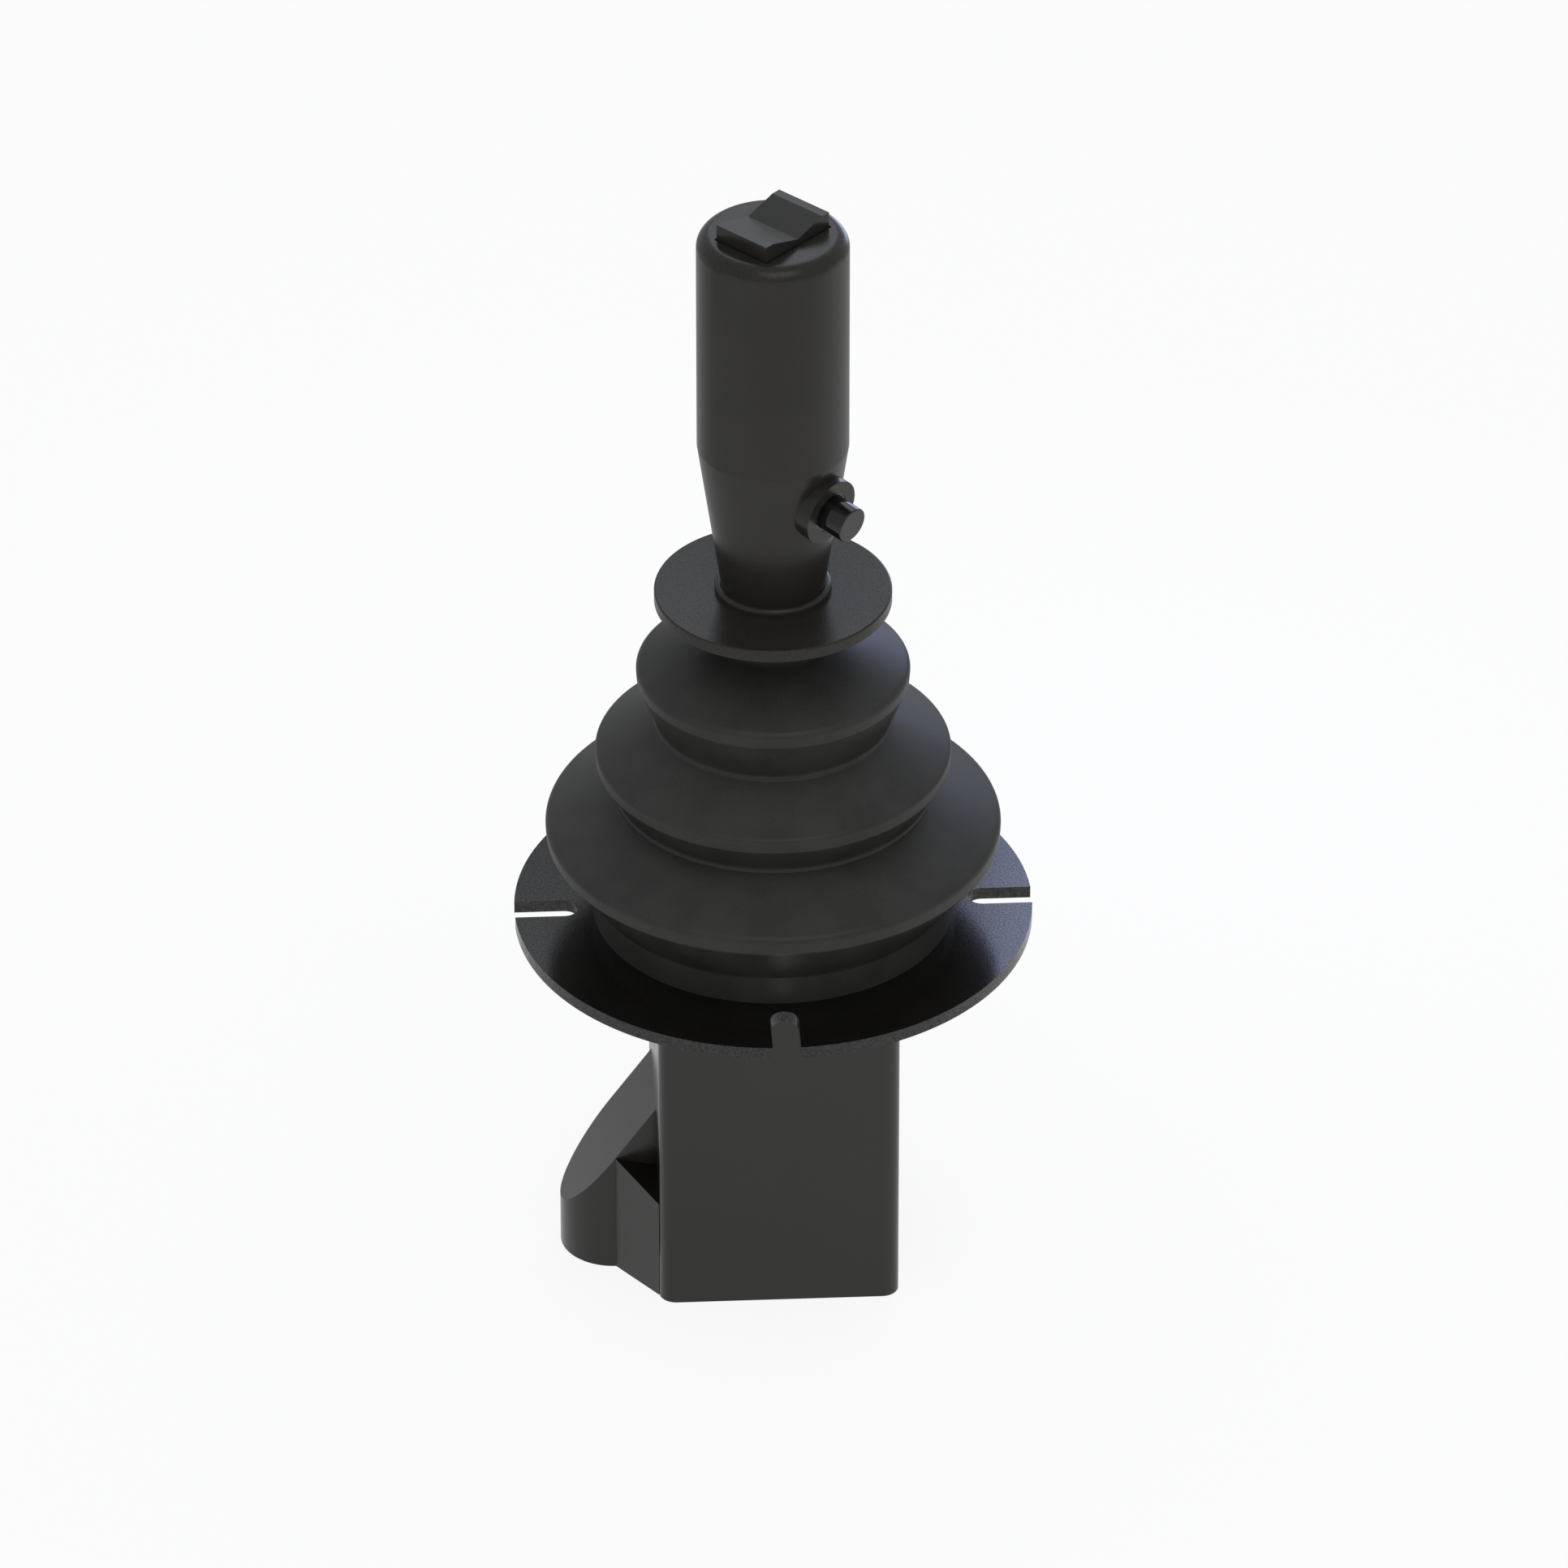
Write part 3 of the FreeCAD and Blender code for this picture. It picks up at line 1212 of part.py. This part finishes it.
make_flange()
make_housing()
make_bottom_cover()
make_connector()
make_gimbal_frame()
make_gimbal_ring()
make_centring_springs()
make_lever_foot()
make_sensor_board()
make_main_board()
make_gate()
make_boot_clamp()
make_boot()
make_lever_top()
make_grip()
make_rocker()
make_button()
countersunk_screws("frame_screws", (frame_screw_at, frame_screw_at), flange_top, d.m3_long)
countersunk_screws("housing_screws", (post_hole_at, post_hole_at), flange_top, d.m3_long)
doc.recompute()

faults = []
for item in doc.Objects:
    if "Invalid" in item.State or "Error" in item.State:
        faults.append("%s (%s): %s" % (item.Label, item.Name, item.State))
for piece in pieces:
    if piece.Shape.isNull() or not piece.Shape.isValid():
        faults.append("%s has no valid shape" % piece.Label)
if faults:
    raise RuntimeError("; ".join(faults))

os.makedirs("parts", exist_ok=True)
for piece in pieces:
    piece.Shape.exportStep("parts/%s.step" % piece.Label)
    print(piece.Label, len(piece.Shape.Solids), "solids, volume %.1f" % piece.Shape.Volume)
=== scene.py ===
import json
import math

import bpy
import numpy as np
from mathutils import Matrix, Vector


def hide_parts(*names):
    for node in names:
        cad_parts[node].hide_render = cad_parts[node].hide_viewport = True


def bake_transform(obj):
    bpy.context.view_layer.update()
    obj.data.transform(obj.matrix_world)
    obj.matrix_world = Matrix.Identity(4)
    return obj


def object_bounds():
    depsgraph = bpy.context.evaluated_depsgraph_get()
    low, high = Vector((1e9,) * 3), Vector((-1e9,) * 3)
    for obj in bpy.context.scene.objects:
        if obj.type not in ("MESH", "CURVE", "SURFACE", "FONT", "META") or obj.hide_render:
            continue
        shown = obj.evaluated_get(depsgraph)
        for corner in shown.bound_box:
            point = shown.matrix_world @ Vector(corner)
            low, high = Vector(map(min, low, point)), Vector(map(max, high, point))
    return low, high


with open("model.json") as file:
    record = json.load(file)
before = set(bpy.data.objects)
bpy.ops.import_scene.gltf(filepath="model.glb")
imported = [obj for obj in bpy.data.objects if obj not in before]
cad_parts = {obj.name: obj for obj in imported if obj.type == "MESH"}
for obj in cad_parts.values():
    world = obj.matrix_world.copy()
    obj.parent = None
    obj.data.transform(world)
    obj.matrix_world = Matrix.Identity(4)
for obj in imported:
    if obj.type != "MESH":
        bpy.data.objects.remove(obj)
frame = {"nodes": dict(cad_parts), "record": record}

# Panel joystick: the photo's view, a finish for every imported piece, and the rubber boot as its
# own mesh. Metres, origin at the middle of the flange's underside, +Z up the lever, -Y the front.

mm = 0.001
frameBox = [list(corner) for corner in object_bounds()]


class Link:
    # wraps one output socket of a material's nodes: + - * on it add Math nodes
    def __init__(self, tree, socket=None):
        self.tree = tree
        self.socket = socket

    def node(self, kind, settings=None, inputs=None, output=0):
        made = self.tree.nodes.new(kind)
        for key, value in (settings or {}).items():
            setattr(made, key, value)
        for key, value in (inputs or {}).items():
            if isinstance(value, Link):
                self.tree.links.new(value.socket, made.inputs[key])
            else:
                made.inputs[key].default_value = value
        return Link(self.tree, made.outputs[output])

    def maths(self, operation, first, second=0.0):
        return self.node("ShaderNodeMath", {"operation": operation}, {0: first, 1: second})

    def __add__(self, other):
        return self.maths("ADD", self, other)

    __radd__ = __add__

    def __sub__(self, other):
        return self.maths("SUBTRACT", self, other)

    def __rsub__(self, other):
        return self.maths("SUBTRACT", other, self)

    def __mul__(self, other):
        return self.maths("MULTIPLY", self, other)


def rgba(colour):
    return (*colour, 1.0)


# Finishes. Each takes its colours and sizes from its own dictionary; sizes are in metres.

def newMaterial(name, shader):
    # returns the material and the Object coordinates to start a pattern from;
    # shader holds the numbers that are the same all over the surface
    material = bpy.data.materials.new(name)
    material.use_nodes = True
    tree = material.node_tree
    principled = tree.nodes["Principled BSDF"]
    for key, value in shader.items():
        principled.inputs[key].default_value = value
    return material, Link(tree).node("ShaderNodeTexCoord", output="Object")


def feed(material, links):
    principled = material.node_tree.nodes["Principled BSDF"]
    for key, link in links.items():
        material.node_tree.links.new(link.socket, principled.inputs[key])


def noiseAt(place, size, detail=2.0, roughness=0.5):
    # soft noise whose blobs are about that many metres across, around 0.5
    return place.node("ShaderNodeTexNoise", {"noise_dimensions": "3D"},
                      {"Vector": place, "Scale": 1.0 / size, "Detail": detail, "Roughness": roughness})


def mixColour(share, first, second):
    return share.node("ShaderNodeMix", {"data_type": "RGBA"},
                      {"Factor": share, "A": rgba(first), "B": rgba(second)}, output="Result")


def bumpOf(height, depth, under=None):
    # a surface pattern of that depth in metres
    inputs = {"Height": height, "Distance": depth, "Strength": 1.0}
    if under is not None:
        inputs["Normal"] = under
    return height.node("ShaderNodeBump", {}, inputs)


pattern = {
    "cloudDetail": 3.0, "grainDetail": 2.0, "grainRoughness": 0.6,
    "toneFrom": 0.3, "toneTo": 0.7, "sparkleFrom": 0.40, "sparkleTo": 0.60,
}


def grainyFinish(name, look):
    # moulded or painted surface: slow clouds in its tone and gloss over a fine even grain
    material, place = newMaterial(name, look["shader"])
    cloud = noiseAt(place, look["cloudSize"], pattern["cloudDetail"])
    grain = noiseAt(place, look["grainSize"], pattern["grainDetail"], pattern["grainRoughness"])
    wave = noiseAt(place, look["waveSize"])
    tone = cloud.node("ShaderNodeMapRange", {"interpolation_type": "SMOOTHSTEP"},
                      {"Value": cloud + (grain - 0.5) * look["grainTone"],
                       "From Min": pattern["toneFrom"], "From Max": pattern["toneTo"]})
    gloss = look["roughness"] + (cloud - 0.5) * look["glossDrift"] + (grain - 0.5) * look["glossGrain"]
    ripple = bumpOf(wave, look["waveDepth"])
    feed(material, {"Base Color": mixColour(tone, look["dark"], look["light"]), "Roughness": gloss,
                    "Normal": bumpOf(grain, look["grainDepth"], ripple)})
    if "sparkle" in look:
        # a clear coat in grain-sized specks
        specks = grain.node("ShaderNodeMapRange", {}, {
            "Value": grain, "From Min": pattern["sparkleFrom"], "From Max": pattern["sparkleTo"],
            "To Min": 0.0, "To Max": look["sparkle"]})
        feed(material, {"Coat Weight": specks})
    return material


platePaint = {
    "shader": {"Specular IOR Level": 0.34, "IOR": 1.5, "Coat Roughness": 0.17},
    "sparkle": 0.50,
    "dark": (0.0052, 0.0048, 0.0038), "light": (0.0068, 0.0062, 0.0050),
    "roughness": 0.17, "glossDrift": 0.04, "glossGrain": 0.06,
    "cloudSize": 0.012, "waveSize": 0.004, "waveDepth": 0.000004,
    "grainSize": 0.0005, "grainTone": 0.3, "grainDepth": 0.000020,
}

housingPlastic = {
    "shader": {"Specular IOR Level": 0.5, "IOR": 1.5},
    "dark": (0.0068, 0.0058, 0.0034), "light": (0.0084, 0.0072, 0.0046),
    "roughness": 0.22, "glossDrift": 0.06, "glossGrain": 0.05,
    "cloudSize": 0.018, "waveSize": 0.006, "waveDepth": 0.00001,
    "grainSize": 0.0004, "grainTone": 0.3, "grainDepth": 0.000008,
}

gripPlastic = {
    "shader": {"Specular IOR Level": 0.26, "IOR": 1.5},
    "dark": (0.0180, 0.0166, 0.0136), "light": (0.0214, 0.0198, 0.0164),
    "roughness": 0.25, "glossDrift": 0.06, "glossGrain": 0.06,
    "cloudSize": 0.020, "waveSize": 0.007, "waveDepth": 0.000008,
    "grainSize": 0.0004, "grainTone": 0.3, "grainDepth": 0.000014,
}

# the grip's plastic, with tops that sparkle a little
capPlastic = dict(gripPlastic, sparkle=0.20,
                  shader={"Specular IOR Level": 0.21, "IOR": 1.5, "Coat Roughness": 0.25})

rockerPlastic = {
    "shader": {"Specular IOR Level": 0.28, "IOR": 1.5},
    "dark": (0.0190, 0.0178, 0.0154), "light": (0.0220, 0.0206, 0.0178),
    "roughness": 0.22, "glossDrift": 0.05, "glossGrain": 0.06,
    "cloudSize": 0.010, "waveSize": 0.005, "waveDepth": 0.000006,
    "grainSize": 0.0004, "grainTone": 0.3, "grainDepth": 0.000012,
}

buttonGloss = {
    "shader": {"Specular IOR Level": 0.45, "IOR": 1.5},
    "dark": (0.0036, 0.0034, 0.0030), "light": (0.0050, 0.0048, 0.0042),
    "roughness": 0.14, "glossDrift": 0.05, "glossGrain": 0.02,
    "cloudSize": 0.003, "waveSize": 0.0012, "waveDepth": 0.000006,
    "grainSize": 0.0002, "grainTone": 0.2, "grainDepth": 0.000001,
}

bootRubber = {
    "shader": {"Specular IOR Level": 0.20, "IOR": 1.5},
    "dark": (0.0268, 0.0265, 0.0238), "light": (0.0346, 0.0343, 0.0310),
    "roughness": 0.40, "glossDrift": 0.14, "glossGrain": 0.10,
    "cloudSize": 0.010, "waveSize": 0.005, "waveDepth": 0.00002,
    "grainSize": 0.0005, "grainTone": 0.6, "grainDepth": 0.000018,
}

sealRubber = dict(bootRubber, cloudSize=0.006, roughness=0.7)

gatePlastic = dict(housingPlastic, dark=(0.020, 0.020, 0.021), light=(0.028, 0.028, 0.030))

innerPlastic = dict(housingPlastic, dark=(0.030, 0.030, 0.031), light=(0.040, 0.040, 0.042))

chipBlack = dict(rockerPlastic, cloudSize=0.003, roughness=0.5)

finishes = {}


def finishFor(slot):
    # one material for each slot of the record, made when it is first asked for
    if slot not in finishes:
        finishes[slot] = makers[slot](slot)
    return finishes[slot]


drawn = {"lineDetail": 4.0, "lineRoughness": 0.6, "filmDetail": 3.0, "lineGloss": 0.2, "filmGloss": 0.15}


def metalFinish(name, look):
    # metal with fine turned or drawn lines, which run across the chosen axis, and a dull film
    material, place = newMaterial(name, {"Metallic": 1.0})
    stretched = place.node("ShaderNodeMapping", {"vector_type": "POINT"},
                           {"Vector": place, "Scale": look["stretch"]})
    lines = noiseAt(stretched, look["lineSize"], drawn["lineDetail"], drawn["lineRoughness"])
    film = noiseAt(place, look["filmSize"], drawn["filmDetail"])
    gloss = look["roughness"] + (lines - 0.5) * drawn["lineGloss"] + (film - 0.5) * drawn["filmGloss"]
    feed(material, {"Base Color": mixColour(film, look["dark"], look["light"]), "Roughness": gloss,
                    "Normal": bumpOf(lines, look["lineDepth"])})
    return material


castAlloy = {"dark": (0.42, 0.42, 0.43), "light": (0.52, 0.52, 0.53), "roughness": 0.48,
             "stretch": (1.0, 1.0, 1.0), "lineSize": 0.0008, "lineDepth": 0.00002, "filmSize": 0.008}
shellNickel = {"dark": (0.46, 0.45, 0.42), "light": (0.56, 0.55, 0.52), "roughness": 0.28,
               "stretch": (1.0, 1.0, 12.0), "lineSize": 0.002, "lineDepth": 0.000006, "filmSize": 0.006}
contactBrass = {"dark": (0.62, 0.44, 0.16), "light": (0.74, 0.55, 0.22), "roughness": 0.25,
                "stretch": (1.0, 1.0, 8.0), "lineSize": 0.001, "lineDepth": 0.000004, "filmSize": 0.002}
bushBronze = {"dark": (0.36, 0.24, 0.12), "light": (0.46, 0.31, 0.16), "roughness": 0.42,
              "stretch": (8.0, 1.0, 1.0), "lineSize": 0.001, "lineDepth": 0.000006, "filmSize": 0.003}
zincSteel = {"dark": (0.50, 0.51, 0.53), "light": (0.62, 0.63, 0.64), "roughness": 0.32,
             "stretch": (1.0, 1.0, 6.0), "lineSize": 0.0012, "lineDepth": 0.000006, "filmSize": 0.003}
springSteel = {"dark": (0.30, 0.29, 0.28), "light": (0.38, 0.37, 0.36), "roughness": 0.30,
               "stretch": (1.0, 1.0, 1.0), "lineSize": 0.0005, "lineDepth": 0.000004, "filmSize": 0.002}
magnetNickel = {"dark": (0.55, 0.55, 0.54), "light": (0.65, 0.65, 0.64), "roughness": 0.20,
                "stretch": (1.0, 1.0, 1.0), "lineSize": 0.0010, "lineDepth": 0.000003, "filmSize": 0.003}

boardGreen = {"solderMask": (0.010, 0.060, 0.022), "track": (0.022, 0.105, 0.040),
              "trackSize": 0.0022, "trackDepth": 0.00003, "trackFrom": 0.12, "trackTo": 0.16,
              "roughness": 0.35, "lacquerSize": 0.004, "lacquerGloss": 0.1}


def circuitBoard(name):
    # green lacquer over copper tracks, which show as slightly raised paler lanes
    material, place = newMaterial(name, {"Specular IOR Level": 0.5, "Coat Weight": 0.3})
    lanes = place.node("ShaderNodeTexVoronoi", {"feature": "DISTANCE_TO_EDGE", "distance": "EUCLIDEAN"},
                       {"Vector": place, "Scale": 1.0 / boardGreen["trackSize"]})
    track = lanes.node("ShaderNodeMapRange", {}, {
        "Value": lanes, "From Min": boardGreen["trackFrom"], "From Max": boardGreen["trackTo"]})
    lacquer = noiseAt(place, boardGreen["lacquerSize"]) * boardGreen["lacquerGloss"]
    feed(material, {"Base Color": mixColour(track, boardGreen["track"], boardGreen["solderMask"]),
                    "Roughness": boardGreen["roughness"] + lacquer,
                    "Normal": bumpOf(1.0 - track, boardGreen["trackDepth"])})
    return material


def grainy(look):
    return lambda name: grainyFinish(name, look)


def metal(look):
    return lambda name: metalFinish(name, look)


makers = {
    "plate_paint": grainy(platePaint), "housing_plastic": grainy(housingPlastic),
    "grip_plastic": grainy(gripPlastic), "cap_plastic": grainy(capPlastic),
    "rocker_plastic": grainy(rockerPlastic),
    "button_gloss": grainy(buttonGloss), "boot_rubber": grainy(bootRubber),
    "seal_rubber": grainy(sealRubber), "gate_plastic": grainy(gatePlastic),
    "cast_alloy": metal(castAlloy), "inner_plastic": grainy(innerPlastic),
    "shell_nickel": metal(shellNickel), "contact_brass": metal(contactBrass),
    "bush_bronze": metal(bushBronze), "zinc_steel": metal(zincSteel),
    "spring_steel": metal(springSteel), "magnet_nickel": metal(magnetNickel),
    "board_green": circuitBoard, "chip_black": grainy(chipBlack),
}

# pieces that the photo shows with another face than their slot's: both have the grip's satin
slotOverride = {"boot_top_plate": "cap_plastic", "grip_cap": "cap_plastic"}


def dressFrame():
    for part in frame["record"]["subparts"]:
        piece = frame["nodes"][part["node"]]
        material = finishFor(slotOverride.get(part["node"], part["material_slot"]))
        if not piece.data.materials:
            piece.data.materials.append(material)
        for holder in piece.material_slots:
            holder.material = material


# Surfaces of revolution: end rows in the profile's own unit, the crease angle in degrees
spun = {"endRow": 0.3, "longSide": 5.0, "crease": 50}


def roundedProfile(corners, steps):
    # corners are (radius, height, rounding); every corner with a rounding becomes an arc that
    # touches both of its sides: the arc turns by the corner's own angle about a point on its bisector
    corners = np.array(corners, dtype=float)
    points, rounding = corners[:, :2], corners[:, 2]
    before = np.roll(points, 1, axis=0) - points
    after = np.roll(points, -1, axis=0) - points
    before = before / np.linalg.norm(before, axis=1)[:, None]
    after = after / np.linalg.norm(after, axis=1)[:, None]
    turn = np.pi - np.arccos(np.clip((before * after).sum(axis=1), -1.0, 1.0))
    bisector = before + after
    bisector = bisector / np.maximum(np.linalg.norm(bisector, axis=1), 1e-9)[:, None]
    centre = points + bisector * (rounding / np.cos(turn / 2))[:, None]
    first = points + before * (rounding * np.tan(turn / 2))[:, None] - centre
    side = np.sign(before[:, 1] * after[:, 0] - before[:, 0] * after[:, 1])
    angle = side[:, None] * turn[:, None] * np.linspace(0.0, 1.0, steps)[None, :]
    x = centre[:, :1] + np.cos(angle) * first[:, :1] - np.sin(angle) * first[:, 1:]
    y = centre[:, 1:] + np.sin(angle) * first[:, :1] + np.cos(angle) * first[:, 1:]
    arcs = np.stack([x, y], axis=2)
    keep = np.where(rounding[:, None] > 0, True, np.arange(steps)[None, :] == 0)
    return withEndRows(arcs[keep], spun["endRow"])


def withEndRows(profile, reach):
    # a point close to either end of each long straight side, so the roundings don't shade it
    step = np.roll(profile, -1, axis=0) - profile
    length = np.linalg.norm(step, axis=1)
    share = (reach / length)[:, None]
    points = np.stack([profile, profile + step * share, profile + step * (1.0 - share)], axis=1)
    far = length > spun["longSide"] * reach
    return points[np.stack([np.full(len(profile), True), far, far], axis=1)]


def spunMesh(name, profile, columns):
    # a closed profile of (radius, height) turned about Z: x = r cos a, y = r sin a, z = h
    rows = len(profile)
    angle = np.arange(columns) * 2 * np.pi / columns
    grid = np.empty((rows, columns, 3))
    grid[:, :, 0] = profile[:, :1] * np.cos(angle)
    grid[:, :, 1] = profile[:, :1] * np.sin(angle)
    grid[:, :, 2] = profile[:, 1:]
    place = np.arange(rows * columns).reshape(rows, columns)
    up = np.roll(place, -1, axis=0)
    faces = np.stack([place, np.roll(place, -1, axis=1), np.roll(up, -1, axis=1), up], axis=2)
    mesh = bpy.data.meshes.new(name)
    mesh.from_pydata(grid.reshape(-1, 3).tolist(), [], faces.reshape(-1, 4).tolist())
    mesh.polygons.foreach_set("use_smooth", np.ones(rows * columns, dtype=bool))
    mesh.set_sharp_from_angle(angle=math.radians(spun["crease"]))
    mesh.update()
    return mesh


def addPiece(name, mesh, slot):
    piece = bpy.data.objects.new(name, mesh)
    bpy.context.scene.collection.objects.link(piece)
    mesh.materials.append(finishFor(slot))
    return piece


# The boot. Radii and heights in millimetres; the third number rounds the corner.
boot = {
    "columns": 256, "arcSteps": 8, "wall": 1.5, "seam": 35.3, "seamOut": 0.5,
    "foot": [(35.5, 3.02, 0.0), (41.9, 3.02, 0.0), (41.9, 10.1, 1.0)],
    "lowFold": [(52.4, 23.5, 1.8), (52.6, 27.2, 2.0)],
    "lowNeck": [(36.1, 36.1, 1.5)],
    "middleFold": [(40.8, 43.4, 0.9), (41.0, 46.6, 1.4)],
    "middleNeck": [(27.5, 54.4, 0.0), (27.0, 55.2, 1.6)],
    "highFold": [(31.3, 65.7, 0.9), (31.5, 69.0, 1.9)],
    "highNeck": [(13.0, 77.2, 3.0), (13.0, 86.38, 0.0)],
    "lowInside": [(50.3, 25.4, 1.0), (40.4, 10.7, 0.8), (40.4, 4.6, 0.3), (35.5, 4.6, 0.0)],
    "highInside": [(11.5, 86.38, 0.0), (11.5, 76.3, 2.0), (29.4, 67.4, 1.0), (25.5, 55.2, 0.6),
                   (38.6, 45.0, 1.0), (34.6, 36.1, 0.6)],
}


def makeBoot():
    # two closed shells, which meet at the crease of the low neck; each runs up its outer skin
    # and back down the inner one
    seam = boot["seam"]
    seamRadius = boot["lowNeck"][0][0] + boot["seamOut"]
    outer, inner = (seamRadius, seam, 0.0), (seamRadius - boot["wall"], seam, 0.0)
    lowSkin = boot["foot"] + boot["lowFold"]
    highSkin = (boot["lowNeck"] + boot["middleFold"] + boot["middleNeck"] + boot["highFold"]
                + boot["highNeck"])
    parts = {"bootLower": lowSkin + [outer, inner] + boot["lowInside"],
             "bootUpper": [outer] + highSkin + boot["highInside"] + [inner]}
    made = {}
    for name, corners in parts.items():
        profile = roundedProfile(corners, boot["arcSteps"]) * mm
        made[name] = addPiece(name, spunMesh(name, profile, boot["columns"]), "boot_rubber")
    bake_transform(made["bootLower"])
    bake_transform(made["bootUpper"])
    for piece in made.values():
        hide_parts("boot")
    print("boot: lower and upper part")


# The photo's view: metres, degrees, and millimetres for the lens and the sensor
view = {
    "aim": (0.0024933, -0.0001333, 0.035664), "distance": 3.02786, "reach": 50.0,
    "heading": 3.060, "elevation": 33.217, "lens": 301.91, "sensor": 36.0,
}


def placeCamera():
    heading, elevation = math.radians(view["heading"]), math.radians(view["elevation"])
    forward = Vector((math.sin(heading) * math.cos(elevation),
                      math.cos(heading) * math.cos(elevation), -math.sin(elevation)))
    data = bpy.data.cameras.new("photoView")
    data.lens = view["lens"]
    data.sensor_width = view["sensor"]
    data.clip_end = view["reach"]
    camera = bpy.data.objects.new("photoView", data)
    camera.location = Vector(view["aim"]) - forward * view["distance"]
    camera.rotation_euler = forward.to_track_quat("-Z", "Y").to_euler()
    bpy.context.scene.collection.objects.link(camera)
    bpy.context.scene.camera = camera


# Floor, sky and lamps. A glossy surface sees the floor dimmer from nearGloss to farGloss metres
# back, down to farDim; sideLean turns that band. Camera rays see floor and sky white.
studio = {
    "floor": 4.0, "floorColour": (0.97, 0.97, 0.97), "floorShadow": 0.12,
    "nearGloss": -0.13, "farGloss": 0.25, "farDim": 0.50, "sideLean": 0.35,
    "skyColour": (0.94, 0.96, 1.0), "sky": 0.70, "skyGloss": 0.60, "skySeen": 1.0,
    "panels": [
        # name, where it stands, size, watts, colour, what it faces
        ("coolPanel", (0.125, 0.24, 0.145), 0.12, 0.130, (0.52, 0.62, 1.0), (0.05, 0.0, 0.0)),
        ("backPanel", (0.022, 0.430, 0.515), 0.29, 0.30, (0.80, 0.88, 1.0), (0.0, 0.0, 0.14)),
        ("keyPanel", (0.15, -0.75, 1.25), 0.9, 3.2, (1.0, 0.99, 0.97), (0.0, 0.0, 0.06)),
    ],
}


def raysThatSee(start):
    # 1 for the camera or through a clear surface, and 1 for what a glossy surface mirrors
    camera, glossy, clear = (start.node("ShaderNodeLightPath", output=kind) for kind in
                             ("Is Camera Ray", "Is Glossy Ray", "Is Transmission Ray"))
    return camera.maths("MAXIMUM", camera, clear), glossy


def makeFloor():
    bottom = frameBox[0][2]
    reach = studio["floor"]
    mesh = bpy.data.meshes.new("studioFloor")
    corners = [(-reach, -reach, bottom), (reach, -reach, bottom), (reach, reach, bottom),
               (-reach, reach, bottom)]
    mesh.from_pydata(corners, [], [(0, 1, 2, 3)])
    floor = bpy.data.objects.new("studioFloor", mesh)
    bpy.context.scene.collection.objects.link(floor)
    material = bpy.data.materials.new("studioFloor")
    material.use_nodes = True
    tree = material.node_tree
    tree.nodes.remove(tree.nodes["Principled BSDF"])
    start = Link(tree)
    seen, glossy = raysThatSee(start)
    place = start.node("ShaderNodeTexCoord", output="Object")
    across = place.node("ShaderNodeSeparateXYZ", {}, {"Vector": place}, output="X")
    depth = place.node("ShaderNodeSeparateXYZ", {}, {"Vector": place}, output="Y")
    depth = depth - across * studio["sideLean"]
    dim = depth.node("ShaderNodeMapRange", {}, {"Value": depth, "From Min": studio["nearGloss"],
                                                "From Max": studio["farGloss"],
                                                "To Min": 0.0, "To Max": 1.0 - studio["farDim"]})
    lit = start.node("ShaderNodeBsdfDiffuse", {}, {"Color": rgba(studio["floorColour"])})
    white = start.node("ShaderNodeEmission", {}, {"Color": rgba((1.0, 1.0, 1.0)),
                                                  "Strength": 1.0 - glossy * dim})
    share = start.maths("MAXIMUM", seen, glossy) * (1.0 - studio["floorShadow"])
    both = start.node("ShaderNodeMixShader", {}, {0: share, 1: lit, 2: white})
    tree.links.new(both.socket, tree.nodes["Material Output"].inputs["Surface"])
    mesh.materials.append(material)


def makeLight():
    world = bpy.data.worlds.new("studioSky")
    bpy.context.scene.world = world
    world.use_nodes = True
    tree = world.node_tree
    seen, glossy = raysThatSee(Link(tree))
    strength = (studio["sky"] + seen * (studio["skySeen"] - studio["sky"])
                + glossy * (studio["skyGloss"] - studio["sky"]))
    background = tree.nodes["Background"]
    background.inputs["Color"].default_value = rgba(studio["skyColour"])
    tree.links.new(strength.socket, background.inputs["Strength"])
    for name, place, size, watts, colour, target in studio["panels"]:
        data = bpy.data.lights.new(name, "AREA")
        data.size = size
        data.energy = watts
        data.color = colour
        lamp = bpy.data.objects.new(name, data)
        lamp.location = place
        lamp.visible_camera = False
        lamp.rotation_euler = (Vector(target) - Vector(place)).to_track_quat("-Z", "Y").to_euler()
        bpy.context.scene.collection.objects.link(lamp)


placeCamera()
makeFloor()
makeLight()
print("studio: camera, floor and light")
dressFrame()
print("finishes:", len(finishes))
makeBoot()

bpy.context.scene.view_settings.view_transform = "Standard"
